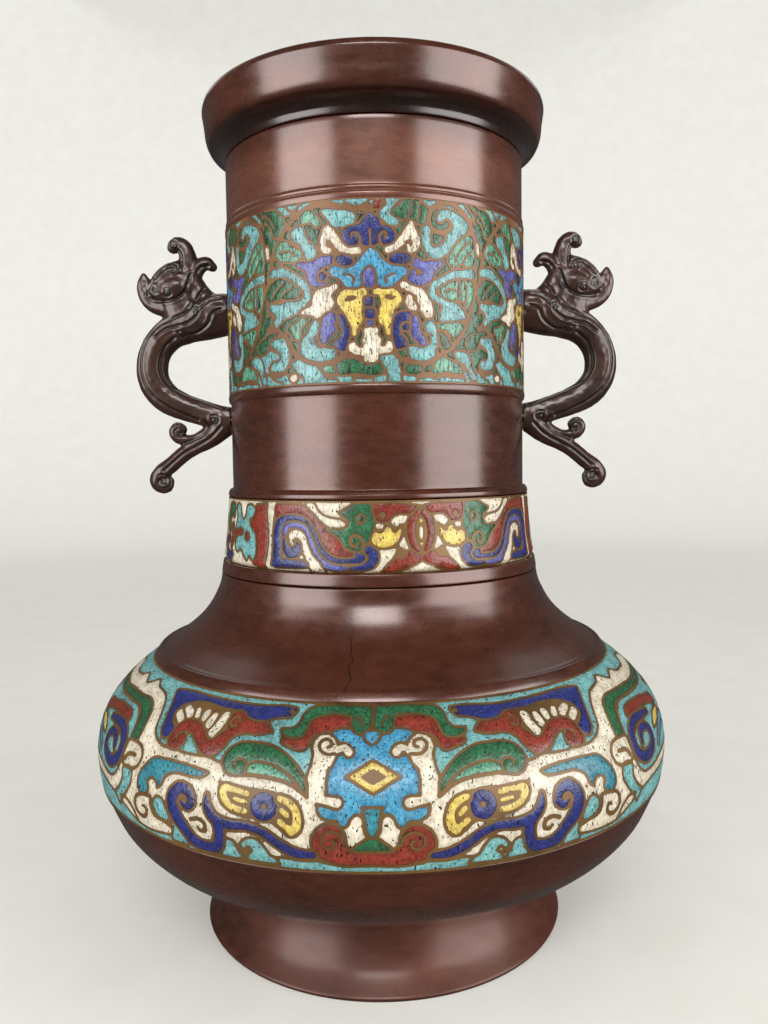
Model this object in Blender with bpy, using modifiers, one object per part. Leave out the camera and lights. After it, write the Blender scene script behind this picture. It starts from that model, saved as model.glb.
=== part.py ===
"""A bronze vase with three bands of champleve enamel and two cast dragon handles.

The vase is built the way such a vase is made: a mouth rim, a neck, a body and a foot are cast and turned
one by one and soldered on spigots, a plate closes the bottom, each enamel band lies in a turned recess,
and each handle is a casting held by two pins through the neck wall.

Units are metres, +Z is up, and the origin is the middle of the foot's underside. The numbers below are
millimetres, as (radius, height) for turned outlines, and MM turns them into metres.
"""

import math

import bmesh
import bpy
from mathutils import Matrix

MM = 0.001

# Driving dimensions
HEIGHT = 305.0
RIM_RADIUS = 63.9
BELLY_RADIUS = 107.2
FOOT_RADIUS = 69.1
NECK_RADIUS = 55.8
BAND_RADIUS = 56.5
BORE_RADIUS = 51.9
WALL = 4.0
GAP = 0.4
ENAMEL_DEPTH = 2.0
ENAMEL_BELOW_BRONZE = 0.1
TURNED_STEPS = 48

# Heights of the soldered joints and of the enamel bands' edges
RIM_JOINT = 284.6
NECK_JOINT = 134.0
FOOT_JOINT = 27.0
UPPER_BAND = (199.9, 258.3)
LOWER_BAND = (138.3, 162.3)

# Spigots: the radius of the inner part at each joint, and how far it reaches
RIM_SPIGOT = (54.0, 15.0)
NECK_SPIGOT = (57.2, 7.4)
FOOT_SPIGOT = (54.2, 8.0)
PLATE_RADIUS = 51.5
PLATE_THICKNESS = 2.0
PLATE_LEDGE = 22.6

# Handles: where their two seats lie, and the pins that hold them
SEAT_HEIGHTS = {"upper": 231.0, "lower": 190.8}
SEAT_RADII = {"upper": 7.0, "lower": 4.2}
SEAT_FLOORS = {"upper": BAND_RADIUS - ENAMEL_DEPTH, "lower": NECK_RADIUS}
SEAT_HOLE_RADIUS = 7.6
SEAT_GAP = 0.35
SEAT_REACH = 60.0
HANDLE_CLEARANCE = 56.8
HANDLE_THICKNESS = 0.82
PIN_RADIUS = 2.0
PIN_HOLE_RADIUS = 2.4
PIN_HEAD_RADIUS = 4.2
PIN_HEAD_HEIGHT = 1.8
PIN_TIP = 64.0


def empty_scene():
    """Removes what the start-up file holds."""
    for thing in list(bpy.data.objects):
        bpy.data.objects.remove(thing)


def collection(name):
    """A new collection in the scene."""
    made = bpy.data.collections.new(name)
    bpy.context.scene.collection.children.link(made)
    return made


def material(name, colour, roughness, metallic):
    """A Principled material of one colour."""
    made = bpy.data.materials.new(name)
    made.use_nodes = True
    shader = made.node_tree.nodes["Principled BSDF"]
    shader.inputs["Base Color"].default_value = (*colour, 1.0)
    shader.inputs["Roughness"].default_value = roughness
    shader.inputs["Metallic"].default_value = metallic
    return made


def smooth(points, steps):
    """A Catmull-Rom curve through points of any dimension, with that many steps between two of them."""
    ends = [
        tuple(2 * a - b for a, b in zip(points[0], points[1])),
        tuple(2 * a - b for a, b in zip(points[-1], points[-2])),
    ]
    run = [ends[0], *points, ends[1]]
    out = [tuple(points[0])]
    for i in range(1, len(run) - 2):
        for k in range(1, steps + 1):
            t = k / steps
            out.append(
                tuple(
                    0.5 * (2 * b + (c - a) * t + (2 * a - 5 * b + 4 * c - d) * t * t
                           + (3 * b - a - 3 * c + d) * t ** 3)
                    for a, b, c, d in zip(*run[i - 1:i + 3])
                )
            )
    return out


def arc(centre, radius, start, end, steps):
    """Points of a circle's arc in the outline plane, angles in degrees from +radius towards +height."""
    turn = [math.radians(start + (end - start) * k / steps) for k in range(steps + 1)]
    return [(centre[0] + radius * math.cos(a), centre[1] + radius * math.sin(a)) for a in turn]


def offset(outline, distance):
    """The outline moved towards its right-hand side: inwards for an outline that runs down the outside."""
    moved = []
    for i, (r, z) in enumerate(outline):
        before = outline[max(i - 1, 0)]
        after = outline[min(i + 1, len(outline) - 1)]
        dr, dz = after[0] - before[0], after[1] - before[1]
        length = math.hypot(dr, dz)
        moved.append((r + dz / length * distance, z - dr / length * distance))
    return moved


def between(outline, low, high):
    """The outline's stretch from height high down to height low, with its ends cut at those heights."""
    kept = []
    for (r0, z0), (r1, z1) in zip(outline, outline[1:]):
        for level in (high, low):
            if z1 < level < z0:
                kept.append((r0 + (r1 - r0) * (z0 - level) / (z0 - z1), level))
        if low < z1 < high:
            kept.append((r1, z1))
    return sorted(kept, key=lambda point: -point[1])


def show(name, mesh, finish, group):
    """Puts a mesh in the group as a named object with one material."""
    made = bpy.data.objects.new(name, mesh)
    made.data.materials.append(finish)
    group.objects.link(made)
    return made


def turned(name, outline, finish, group, steps=TURNED_STEPS):
    """A ring turned about Z from a closed outline, which runs down its outer side and up its inner side."""
    mesh = bpy.data.meshes.new(name)
    points = [(r * MM, 0.0, z * MM) for r, z in outline]
    count = len(points)
    mesh.from_pydata(points, [(i, (i + 1) % count) for i in range(count)], [])
    made = show(name, mesh, finish, group)
    screw = made.modifiers.new("turn", "SCREW")
    screw.angle = 2 * math.pi
    screw.steps = steps
    screw.render_steps = steps
    screw.use_merge_vertices = True
    screw.merge_threshold = 0.00005
    screw.use_normal_calculate = False
    return made


def drum(name, radius, low, high, steps, axis="Z"):
    """A closed cylinder mesh about Z, or about X when axis is X, between two distances along it."""
    shape = bmesh.new()
    bmesh.ops.create_cone(
        shape, cap_ends=True, segments=steps, radius1=radius * MM, radius2=radius * MM, depth=(high - low) * MM
    )
    bmesh.ops.translate(shape, verts=shape.verts, vec=(0, 0, (low + high) / 2 * MM))
    if axis == "X":
        bmesh.ops.rotate(shape, verts=shape.verts, matrix=Matrix.Rotation(math.pi / 2, 3, "Y"))
    mesh = bpy.data.meshes.new(name)
    shape.to_mesh(mesh)
    shape.free()
    return mesh


def side_drum(name, radius, low, high, height, steps=20):
    """A closed cylinder along X at a height, from x = low to x = high."""
    mesh = drum(name, radius, low, high, steps, axis="X")
    mesh.transform(Matrix.Translation((0, 0, height * MM)))
    return mesh


def combine(target, others, operation, cutters):
    """Adds a Boolean to the target for each of the meshes, which stay in the cutters' group."""
    for i, mesh in enumerate(others):
        tool = bpy.data.objects.new(f"{target.name}_{operation.lower()}_{i}", mesh)
        tool.hide_render = True
        tool.display_type = "WIRE"
        cutters.objects.link(tool)
        step = target.modifiers.new(tool.name, "BOOLEAN")
        step.operation = operation
        step.object = tool
    return target


# Outlines of the turned pieces, outer side first and downwards


def shoulder_and_belly():
    """The body's outer side: a hollow shoulder, a step at the band's upper edge, the belly and the bowl."""
    shoulder = smooth([(60.7, 133.6), (61.6, 129.0), (65.2, 121.7), (69.6, 116.3), (75.4, 111.4), (82.6, 106.6)], 2)
    upper_step = [(83.5, 107.0), (84.4, 106.5)]
    belly = smooth(
        [(86.2, 103.9), (93.6, 98.2), (101.2, 90.6), (105.7, 82.2), (BELLY_RADIUS, 73.8),
         (106.7, 65.8), (106.0, 62.0)], 2
    )
    lower_step = [(105.6, 60.9), (104.8, 60.6)]
    bowl = smooth([(103.9, 57.6), (100.4, 49.6), (95.4, 43.1), (88.6, 37.2), (79.0, 32.0), (68.0, 28.6)], 2)
    return shoulder, upper_step, belly, lower_step, bowl


def rim_outline():
    """The mouth rim: a flat lip, a slightly flared face and a cove that runs into the neck."""
    cove_radius = 5.7
    cove = arc((NECK_RADIUS + cove_radius + 0.1, RIM_JOINT + GAP), cove_radius, 90, 180, 4)
    face = [(61.8, HEIGHT), (63.3, HEIGHT - 0.7), (RIM_RADIUS, HEIGHT - 2.6), (63.2, 297.6), (62.5, 292.6)]
    socket = RIM_SPIGOT[0] + GAP
    top = RIM_JOINT + RIM_SPIGOT[1] + GAP
    inside = [(socket, RIM_JOINT + GAP), (socket, top), (BORE_RADIUS, top), (BORE_RADIUS, HEIGHT - 1.2)]
    return face + cove + inside + [(53.1, HEIGHT)]


def lower_band_side():
    """The outer side of the neck's lower band, which widens towards the shoulder."""
    return smooth([(57.5, 163.8), (57.9, 157.0), (58.6, 149.0), (59.5, 141.6), (60.5, 135.8)], 1)


def neck_outline():
    """The neck: fine mouldings, a recess for each enamel band, and a spigot at each end."""
    low, high = UPPER_BAND
    floor = BAND_RADIUS - ENAMEL_DEPTH
    spigot, reach = RIM_SPIGOT
    top = [(spigot, RIM_JOINT + reach), (spigot, RIM_JOINT), (NECK_RADIUS, RIM_JOINT)]
    beads = [(NECK_RADIUS, 263.0), (56.2, 262.4), (56.2, 261.6), (55.9, 261.2), (BAND_RADIUS, 260.4)]
    upper = [(BAND_RADIUS, high), (floor, high), (floor, low), (BAND_RADIUS, low), (56.7, 198.4), (56.4, 196.9),
             (NECK_RADIUS, 196.6)]
    step = [(NECK_RADIUS, 165.2), (56.9, 164.8), (57.2, 164.2)]
    low, high = LOWER_BAND
    side = lower_band_side()
    cut = offset(between(side, low, high), ENAMEL_DEPTH)
    cut[0], cut[-1] = (cut[0][0], high), (cut[-1][0], low)
    lower = [*[p for p in side if p[1] > high], between(side, low, high)[0], *cut, between(side, low, high)[-1],
             *[p for p in side if p[1] < low], (60.8, NECK_JOINT)]
    spigot, reach = NECK_SPIGOT
    bottom = [(spigot, NECK_JOINT), (spigot, NECK_JOINT - reach), (54.0, NECK_JOINT - reach), (53.8, 136.0)]
    return top + beads + upper + step + lower + bottom + [(BORE_RADIUS, 156.0), (BORE_RADIUS, RIM_JOINT + reach + 7.6)]


def body_outline():
    """The body: socket for the neck, recess for the belly band, and a spigot that the foot fits."""
    shoulder, upper_step, belly, lower_step, bowl = shoulder_and_belly()
    band = [belly[0], *offset(belly, ENAMEL_DEPTH), belly[-1]]
    spigot, reach = FOOT_SPIGOT
    seat = PLATE_RADIUS + GAP
    bottom = [(57.9, FOOT_JOINT), (spigot, FOOT_JOINT), (spigot, FOOT_JOINT - reach), (seat, FOOT_JOINT - reach),
              (seat, PLATE_LEDGE), (48.5, PLATE_LEDGE), (48.5, 26.4)]
    inside = offset(shoulder[3::2] + upper_step[1:] + belly[2::2] + bowl[2::2], WALL)
    socket = NECK_SPIGOT[0] + GAP
    ledge = NECK_JOINT - NECK_SPIGOT[1] - GAP
    collar = [(54.2, ledge - 1.6), (54.2, ledge), (socket, ledge), (socket, shoulder[0][1])]
    return shoulder + upper_step + band + lower_step + bowl + bottom + inside[::-1] + collar


def foot_outline():
    """The foot: a flared skirt with a rounded edge, soldered on the body's spigot."""
    skirt = smooth([(57.9, FOOT_JOINT - GAP), (58.5, 20.6), (60.4, 13.6), (63.6, 7.2), (68.0, 2.4)], 2)
    edge = [(FOOT_RADIUS, 1.3), (68.6, 0.3), (68.0, 0.0), (65.4, 0.0)]
    inner = smooth([(64.6, 1.4), (60.6, 7.4), (57.2, 13.6), (55.2, 18.6)], 1)
    bore = FOOT_SPIGOT[0] + GAP
    return skirt + edge + inner + [(bore, 19.8), (bore, FOOT_JOINT - GAP)]


def enamel_outline(side):
    """A band of enamel that fills its recess, from the outer side of the bronze around it."""
    outer = offset(side, ENAMEL_BELOW_BRONZE)
    inner = offset(side, ENAMEL_DEPTH - 0.3)
    return outer + inner[::-1]


def enamel_sides():
    """The outer side of each enamel band, a little shorter than its recess."""
    low, high = UPPER_BAND
    upper = [(BAND_RADIUS, high - 0.3), (BAND_RADIUS, low + 0.3)]
    low, high = LOWER_BAND
    lower = between(lower_band_side(), low + 0.4, high - 0.4)
    belly = shoulder_and_belly()[2]
    trimmed = between(belly, belly[-1][1] + 0.4, belly[0][1] - 0.35)
    return {"upper_neck_enamel": upper, "lower_neck_enamel": lower, "belly_enamel": trimmed}


# Handles: centre lines as (distance from the vase's axis, height, radius)

DRAGON_BODY = [
    (54.0, 231.2, 7.2), (62.0, 231.0, 7.8), (68.0, 229.3, 7.4), (74.5, 227.0, 6.4), (80.5, 223.6, 6.0),
    (85.0, 218.3, 6.0), (86.9, 211.8, 6.0), (85.8, 205.3, 5.9), (81.8, 200.6, 5.7), (75.5, 197.2, 5.2),
    (68.5, 194.8, 4.8), (62.0, 192.4, 4.8), (54.0, 190.8, 4.9),
]
DRAGON_TAIL = [
    (57.0, 191.0, 4.4), (62.0, 186.9, 4.2), (66.5, 183.6, 3.7), (71.5, 181.0, 3.2), (76.0, 178.0, 3.0),
    (80.5, 174.2, 3.0), (84.3, 170.8, 3.1), (86.0, 168.2, 2.9), (85.2, 165.9, 2.6), (82.6, 165.4, 2.3),
]
TAIL_BRANCH = [
    (63.5, 189.0, 2.6), (67.5, 185.8, 2.3), (71.0, 183.9, 2.1), (74.5, 183.6, 2.1), (77.8, 184.8, 2.2),
    (78.7, 187.2, 2.0), (76.8, 188.8, 1.8),
]
DRAGON_THROAT = [(73.0, 227.0, 6.2), (75.5, 233.0, 7.2), (77.0, 240.0, 6.4)]
DRAGON_NAPE = [(63.5, 232.0, 6.2), (67.6, 238.0, 4.6), (71.0, 244.0, 4.0)]
DRAGON_HORN = [
    (76.6, 245.5, 5.4), (73.4, 250.0, 3.9), (72.0, 254.4, 3.0), (73.1, 258.0, 2.7), (75.7, 259.2, 2.5),
    (77.8, 258.0, 2.2),
]
DRAGON_CREST = [(72.0, 244.5, 3.4), (69.0, 248.6, 2.9), (66.2, 251.2, 2.4), (63.2, 251.0, 2.1), (61.7, 249.2, 1.6)]
DRAGON_EAR = [(81.0, 234.6, 3.6), (86.6, 237.4, 2.9), (88.8, 241.4, 2.4), (88.9, 245.8, 1.6)]
HEAD_CENTRE = (77.4, 242.0)
HEAD_RADII = (8.9, 6.6, 7.2)


def tapered_tube(name, line, sides, steps):
    """A closed mesh tube along a centre line in the XZ plane, thick as the line says."""
    curve = bpy.data.curves.new(name, "CURVE")
    curve.dimensions = "3D"
    curve.bevel_depth = MM
    curve.bevel_resolution = sides // 2 - 2
    curve.use_fill_caps = True
    points = smooth(line, steps)
    spline = curve.splines.new("POLY")
    spline.points.add(len(points) - 1)
    for place, (x, z, radius) in zip(spline.points, points):
        place.co = (x * MM, 0.0, z * MM, 1.0)
        place.radius = radius
    carrier = bpy.data.objects.new(name, curve)
    bpy.context.scene.collection.objects.link(carrier)
    mesh = bpy.data.meshes.new_from_object(carrier.evaluated_get(bpy.context.evaluated_depsgraph_get()))
    bpy.data.objects.remove(carrier)
    shape = bmesh.new()
    shape.from_mesh(mesh)
    bmesh.ops.remove_doubles(shape, verts=shape.verts, dist=MM * 0.02)
    bmesh.ops.scale(shape, verts=shape.verts, vec=(1.0, HANDLE_THICKNESS, 1.0))
    shape.to_mesh(mesh)
    shape.free()
    return mesh


def head_mesh():
    """The dragon's skull, a squashed ball."""
    shape = bmesh.new()
    bmesh.ops.create_uvsphere(shape, u_segments=16, v_segments=10, radius=MM)
    bmesh.ops.scale(shape, verts=shape.verts, vec=HEAD_RADII)
    bmesh.ops.translate(shape, verts=shape.verts, vec=(HEAD_CENTRE[0] * MM, 0.0, HEAD_CENTRE[1] * MM))
    mesh = bpy.data.meshes.new("skull")
    shape.to_mesh(mesh)
    shape.free()
    return mesh


def handle_shape(finish, group, cutters):
    """One dragon handle on the +X side, cut back from the neck and drilled for its pins."""
    body = show("dragon", tapered_tube("dragon_body", DRAGON_BODY, 12, 1), finish, group)
    limbs = [
        ("tail", DRAGON_TAIL, 10, 1), ("tail_branch", TAIL_BRANCH, 8, 1), ("throat", DRAGON_THROAT, 12, 1),
        ("nape", DRAGON_NAPE, 10, 1), ("horn", DRAGON_HORN, 8, 2), ("crest", DRAGON_CREST, 8, 1),
        ("ear", DRAGON_EAR, 8, 2),
    ]
    joined = [tapered_tube(name, line, sides, steps) for name, line, sides, steps in limbs] + [head_mesh()]
    combine(body, joined, "UNION", cutters)
    combine(body, [drum("neck_clearance", HANDLE_CLEARANCE, 150.0, 280.0, 96)], "DIFFERENCE", cutters)
    seats = [side_drum(f"{side}_seat", SEAT_RADII[side], SEAT_FLOORS[side] + SEAT_GAP, SEAT_REACH, height)
             for side, height in SEAT_HEIGHTS.items()]
    holes = [side_drum(f"{side}_blind_hole", PIN_HOLE_RADIUS, 50.0, PIN_TIP + GAP, height, 12)
             for side, height in SEAT_HEIGHTS.items()]
    combine(body, seats, "UNION", cutters)
    combine(body, holes, "DIFFERENCE", cutters)
    mesh = bpy.data.meshes.new_from_object(body.evaluated_get(bpy.context.evaluated_depsgraph_get()))
    bpy.data.objects.remove(body)
    return mesh


def pin_mesh(height):
    """A pin on the +X side: a domed head inside the neck and a shank that ends in the handle."""
    head_face = BORE_RADIUS - GAP - 0.2
    dome = [(0.0, -PIN_HEAD_HEIGHT)] + [
        (PIN_HEAD_RADIUS * math.sin(math.radians(a)), -PIN_HEAD_HEIGHT * math.cos(math.radians(a)))
        for a in (30, 60)
    ]
    outline = dome + [(PIN_HEAD_RADIUS, 0.0), (PIN_RADIUS, 0.0), (PIN_RADIUS, PIN_TIP - head_face - 0.5),
                      (PIN_RADIUS - 0.5, PIN_TIP - head_face), (0.0, PIN_TIP - head_face)]
    shape = bmesh.new()
    corners = [shape.verts.new((r * MM, 0.0, z * MM)) for r, z in outline]
    edges = [shape.edges.new(pair) for pair in zip(corners, corners[1:])]
    bmesh.ops.spin(shape, geom=corners + edges, axis=(0, 0, 1), cent=(0, 0, 0), angle=2 * math.pi, steps=12)
    bmesh.ops.remove_doubles(shape, verts=shape.verts, dist=MM * 0.02)
    bmesh.ops.recalc_face_normals(shape, faces=shape.faces)
    bmesh.ops.rotate(shape, verts=shape.verts, matrix=Matrix.Rotation(math.pi / 2, 3, "Y"))
    bmesh.ops.translate(shape, verts=shape.verts, vec=(head_face * MM, 0.0, height * MM))
    mesh = bpy.data.meshes.new("pin")
    shape.to_mesh(mesh)
    shape.free()
    return mesh


def base_plate(finish, group):
    """The plate that closes the bottom, held in the rebate of the body's spigot."""
    top = PLATE_LEDGE - 0.3
    mesh = drum("base_plate", PLATE_RADIUS, top - PLATE_THICKNESS, top, TURNED_STEPS)
    plate = show("base_plate", mesh, finish, group)
    edge = plate.modifiers.new("edge", "BEVEL")
    edge.width = 0.3 * MM
    edge.segments = 1
    return plate


def main():
    empty_scene()
    vase = collection("cloisonne_vase")
    cutters = collection("cutters")
    bronze = material("bronze", (0.13, 0.045, 0.032), 0.32, 0.6)
    dark_bronze = material("dark_bronze", (0.075, 0.04, 0.034), 0.4, 0.6)
    enamel = material("enamel", (0.25, 0.5, 0.5), 0.25, 0.0)

    turned("mouth_rim", rim_outline(), bronze, vase)
    neck = turned("neck_shell", neck_outline(), bronze, vase)
    turned("body_shell", body_outline(), bronze, vase)
    turned("foot_ring", foot_outline(), bronze, vase)
    base_plate(bronze, vase)
    bands = {name: turned(name, enamel_outline(side), enamel, vase) for name, side in enamel_sides().items()}

    pin_holes = [side_drum(f"pin_hole_{side}", PIN_HOLE_RADIUS, -62.0, 62.0, height, 12)
                 for side, height in SEAT_HEIGHTS.items()]
    combine(neck, pin_holes, "DIFFERENCE", cutters)
    seat_hole = side_drum("seat_hole", SEAT_HOLE_RADIUS, -62.0, 62.0, SEAT_HEIGHTS["upper"], 24)
    combine(bands["upper_neck_enamel"], [seat_hole], "DIFFERENCE", cutters)

    dragon = handle_shape(dark_bronze, vase, cutters)
    for side, turn in (("right", 0.0), ("left", math.pi)):
        handle = show(f"handle_{side}", dragon, dark_bronze, vase)
        handle.rotation_euler.z = turn
        for seat, height in SEAT_HEIGHTS.items():
            pin = show(f"handle_pin_{side}_{seat}", pin_mesh(height), dark_bronze, vase)
            pin.rotation_euler.z = turn


main()
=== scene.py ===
"""The looks of a bronze vase with champleve enamel bands and dragon handles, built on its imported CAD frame.

The turned bronze pieces are smooth versions of the CAD nodes' own outlines. The enamel bands are drawn flat,
as cells with a bronze wall round each, then wrapped round the vase. The handles are sculpted from tapered
limbs. Drawings are in millimetres; the frame and every object are in metres.
"""

import math

import bpy
import numpy as np
from mathutils import Matrix, Vector
from mathutils.geometry import delaunay_2d_cdt


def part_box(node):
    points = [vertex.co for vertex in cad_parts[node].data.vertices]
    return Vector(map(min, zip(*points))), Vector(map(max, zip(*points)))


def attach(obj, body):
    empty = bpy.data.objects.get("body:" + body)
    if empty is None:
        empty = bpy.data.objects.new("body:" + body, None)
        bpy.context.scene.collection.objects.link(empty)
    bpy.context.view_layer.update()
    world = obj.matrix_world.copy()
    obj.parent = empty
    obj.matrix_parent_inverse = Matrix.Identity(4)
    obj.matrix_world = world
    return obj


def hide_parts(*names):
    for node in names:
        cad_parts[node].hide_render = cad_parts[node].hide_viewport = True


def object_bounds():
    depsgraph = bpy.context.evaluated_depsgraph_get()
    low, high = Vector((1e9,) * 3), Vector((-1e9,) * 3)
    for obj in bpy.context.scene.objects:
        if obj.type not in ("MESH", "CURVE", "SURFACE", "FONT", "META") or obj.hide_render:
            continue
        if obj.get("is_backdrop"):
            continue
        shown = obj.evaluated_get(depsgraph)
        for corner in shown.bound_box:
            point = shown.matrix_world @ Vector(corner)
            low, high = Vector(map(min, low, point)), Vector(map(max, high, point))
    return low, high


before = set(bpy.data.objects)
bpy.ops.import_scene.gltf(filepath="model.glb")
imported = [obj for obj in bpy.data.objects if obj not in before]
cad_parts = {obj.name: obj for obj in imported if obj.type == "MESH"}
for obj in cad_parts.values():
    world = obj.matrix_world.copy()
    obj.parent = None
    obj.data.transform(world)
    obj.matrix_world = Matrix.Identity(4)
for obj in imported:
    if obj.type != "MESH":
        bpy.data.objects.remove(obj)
bounds_at_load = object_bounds()

MM = 0.001
TINY = 1e-9
BEYOND = 1e9
FULL_TURN = 2 * math.pi

# Drawing the enamel bands. A band is drawn flat, x along the belt and y up the wall, in millimetres.
# A drawing is a text of cells, the later ones over the earlier. A cell is its colour's name and then its
# marks: o is an outline's points, s a stroke's points, and c a disc. A point is x,y or x,y,radius, and a star
# makes it a sharp corner. The colour "line" is the bronze that shows between the enamels.

PALETTE = [
    "line", "turquoise", "white", "light_blue", "teal", "dark_blue", "violet", "green", "light_green", "red",
    "yellow",
]
STROKE_RADIUS = 0.45
FILLET = 0.7
MARK_REACH = 3.0
DISC_SIDES = 24
FAR = 9.0
GROUND_MARGIN = 0.05
GROUND_REACH = 2.4


def points_of(words):
    """Reads "12,3 14.5,3* 15,4,1.2": points with an optional radius, a star marking a sharp corner."""
    points, corners, radius = [], [], STROKE_RADIUS
    for word in words:
        numbers = [float(part) for part in word.rstrip("*").split(",")]
        radius = numbers[2] if len(numbers) > 2 else radius
        points.append((numbers[0], numbers[1], radius))
        corners.append(word.endswith("*"))
    return np.array(points), corners


def cells_of(drawing):
    """A drawing's cells. Each is its place in the palette and its marks, and a mark is its kind and words."""
    cells = []
    for word in drawing.split():
        if word in PALETTE:
            cells.append((PALETTE.index(word), []))
        elif word in ("o", "s", "c"):
            cells[-1][1].append((word, []))
        else:
            cells[-1][1][-1][1].append(word)
    return cells


def curve_through(points, corners, closed, spacing=0.6):
    """A smooth curve through the points, sharp at the corners, sampled about every spacing."""
    count = len(points)
    spans = range(count if closed else count - 1)

    def slope(i):
        if corners[i] or (not closed and i in (0, count - 1)):
            return None
        back, ahead = points[i] - points[i - 1], points[(i + 1) % count] - points[i]
        far_back, far_ahead = np.hypot(*back[:2]) + TINY, np.hypot(*ahead[:2]) + TINY
        return (back / far_back * far_ahead + ahead / far_ahead * far_back) / (far_back + far_ahead)

    out = []
    for i in spans:
        start, end = points[i], points[(i + 1) % count]
        length = np.hypot(*(end - start)[:2]) + TINY
        leave, arrive = slope(i), slope((i + 1) % count)
        leave = end - start if leave is None else leave * length
        arrive = end - start if arrive is None else arrive * length
        steps = max(2, int(math.ceil(length / spacing)))
        t = (np.arange(steps) / steps)[:, None]
        out.append(
            (2 * t**3 - 3 * t**2 + 1) * start + (t**3 - 2 * t**2 + t) * leave
            + (3 * t**2 - 2 * t**3) * end + (t**3 - t**2) * arrive
        )
    curve = np.concatenate(out)
    return curve if closed else np.vstack([curve, points[-1]])


def mark_of(kind, words):
    """A mark as "o" and its closed outline, or "s" and its centre line with a radius at each point."""
    points, corners = points_of(words)
    if kind != "c":
        return kind, curve_through(points, corners, kind == "o")
    (x, y, radius), = points
    turn = np.linspace(0, FULL_TURN, DISC_SIDES, endpoint=False)
    return "o", np.stack([x + radius * np.cos(turn), y + radius * np.sin(turn), turn * 0], axis=1)


class Sheet:
    """A flat band being drawn: how far each spot is from its nearest cells and strokes, and its colour.

    A cell spreads at most grow beyond its drawn edge, and by spread more where a bronze stroke is near.
    """

    def __init__(self, x0, x1, y0, y1, ground, step, line, grow, spread=0.0):
        self.x0, self.y0, self.step, self.ground = x0, y0, step, PALETTE.index(ground)
        self.line, self.grow, self.spread = line, grow, spread
        self.x = np.arange(x0, x1 + step * 0.5, step)
        self.y = np.arange(y0, y1 + step * 0.5, step)
        self.near, self.next, self.strokes = np.full((3, len(self.y), len(self.x)), FAR)
        self.colour = np.full(self.near.shape, self.ground, dtype=np.int16)

    def window(self, curve, reach):
        """The part of the sheet that a mark can touch: its first and last column, then row."""
        sides = []
        for grid, places in ((self.x, curve[:, 0]), (self.y, curve[:, 1])):
            sides += [np.searchsorted(grid, places.min() - reach), np.searchsorted(grid, places.max() + reach)]
        return sides

    def distance(self, mark, box):
        """Signed distance from every spot in the box to a mark's edge, negative inside the mark."""
        kind, curve = mark
        x, y = np.meshgrid(self.x[box[0]:box[1]], self.y[box[2]:box[3]])
        best = np.full(x.shape, BEYOND)
        inside = np.zeros(x.shape, bool)
        ends = np.roll(curve, -1, axis=0) if kind == "o" else curve[1:]
        for (ax, ay, ar), (bx, by, br) in zip(curve, ends):
            dx, dy = bx - ax, by - ay
            t = np.clip(((x - ax) * dx + (y - ay) * dy) / (dx * dx + dy * dy + 1e-12), 0, 1)
            gap = np.hypot(x - ax - t * dx, y - ay - t * dy)
            if kind == "o":
                crosses = ((ay > y) != (by > y)) & (x < ax + dx * (y - ay) / (dy if dy else TINY))
                inside ^= crosses
                best = np.minimum(best, gap)
            else:
                best = np.minimum(best, gap - ar - t * (br - ar))
        return np.where(inside, -best, best) if kind == "o" else best

    def paint(self, colour, marks):
        """Draws one cell, made of marks that run together, over what is there. Colour 0 is solid bronze."""
        marks = [mark_of(kind, words) for kind, words in marks]
        everything = np.concatenate([curve for kind, curve in marks])
        box = self.window(everything, everything[:, 2].max() + MARK_REACH)
        if box[0] == box[1] or box[2] == box[3]:
            return
        edge = self.distance(marks[0], box)
        for mark in marks[1:]:
            other = self.distance(mark, box)
            blend = np.clip(0.5 + 0.5 * (other - edge) / FILLET, 0, 1)
            edge = other * (1 - blend) + edge * blend - FILLET * blend * (1 - blend)
        here = np.s_[box[2]:box[3], box[0]:box[1]]
        if colour == 0:
            self.strokes[here] = np.minimum(self.strokes[here], edge)
            return
        first, second = np.maximum(self.near[here], -edge), np.maximum(self.next[here], -edge)
        closer = edge < first
        self.colour[here][closer] = colour
        self.near[here] = np.where(closer, edge, first)
        self.next[here] = np.where(closer, first, np.minimum(second, edge))
        self.strokes[here] = np.maximum(self.strokes[here], self.grow - edge)

    def settle(self):
        """Spreads the cells until one line of bronze parts them, and lets the ground fill what is left."""
        band = 2 * self.line + GROUND_MARGIN
        clear = np.minimum(self.near, self.strokes) - band
        reach = int(GROUND_REACH / self.step)
        padded = np.pad(np.where(clear > 0, clear, -FAR), reach, mode="edge")
        far = np.full(clear.shape, FAR)
        for i in range(2 * reach + 1):
            for j in range(2 * reach + 1):
                there = padded[i:i + clear.shape[0], j:j + clear.shape[1]]
                far = np.minimum(far, np.hypot(i - reach, j - reach) * self.step - there)
        first, second = np.minimum(self.near, far), np.minimum(np.maximum(self.near, far), self.next)
        self.wall = np.minimum((second - first) / 2 - self.line, self.strokes)
        limit = self.grow + self.spread * np.clip(2 - self.strokes, 0, 1)
        self.wall = np.where(self.near < far, np.minimum(self.wall, limit - self.near), self.wall)
        self.colour[far < self.near] = self.ground

# The belly band: a lotus between facing beasts. Its drawing starts at the lotus and is mirrored there.

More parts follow.
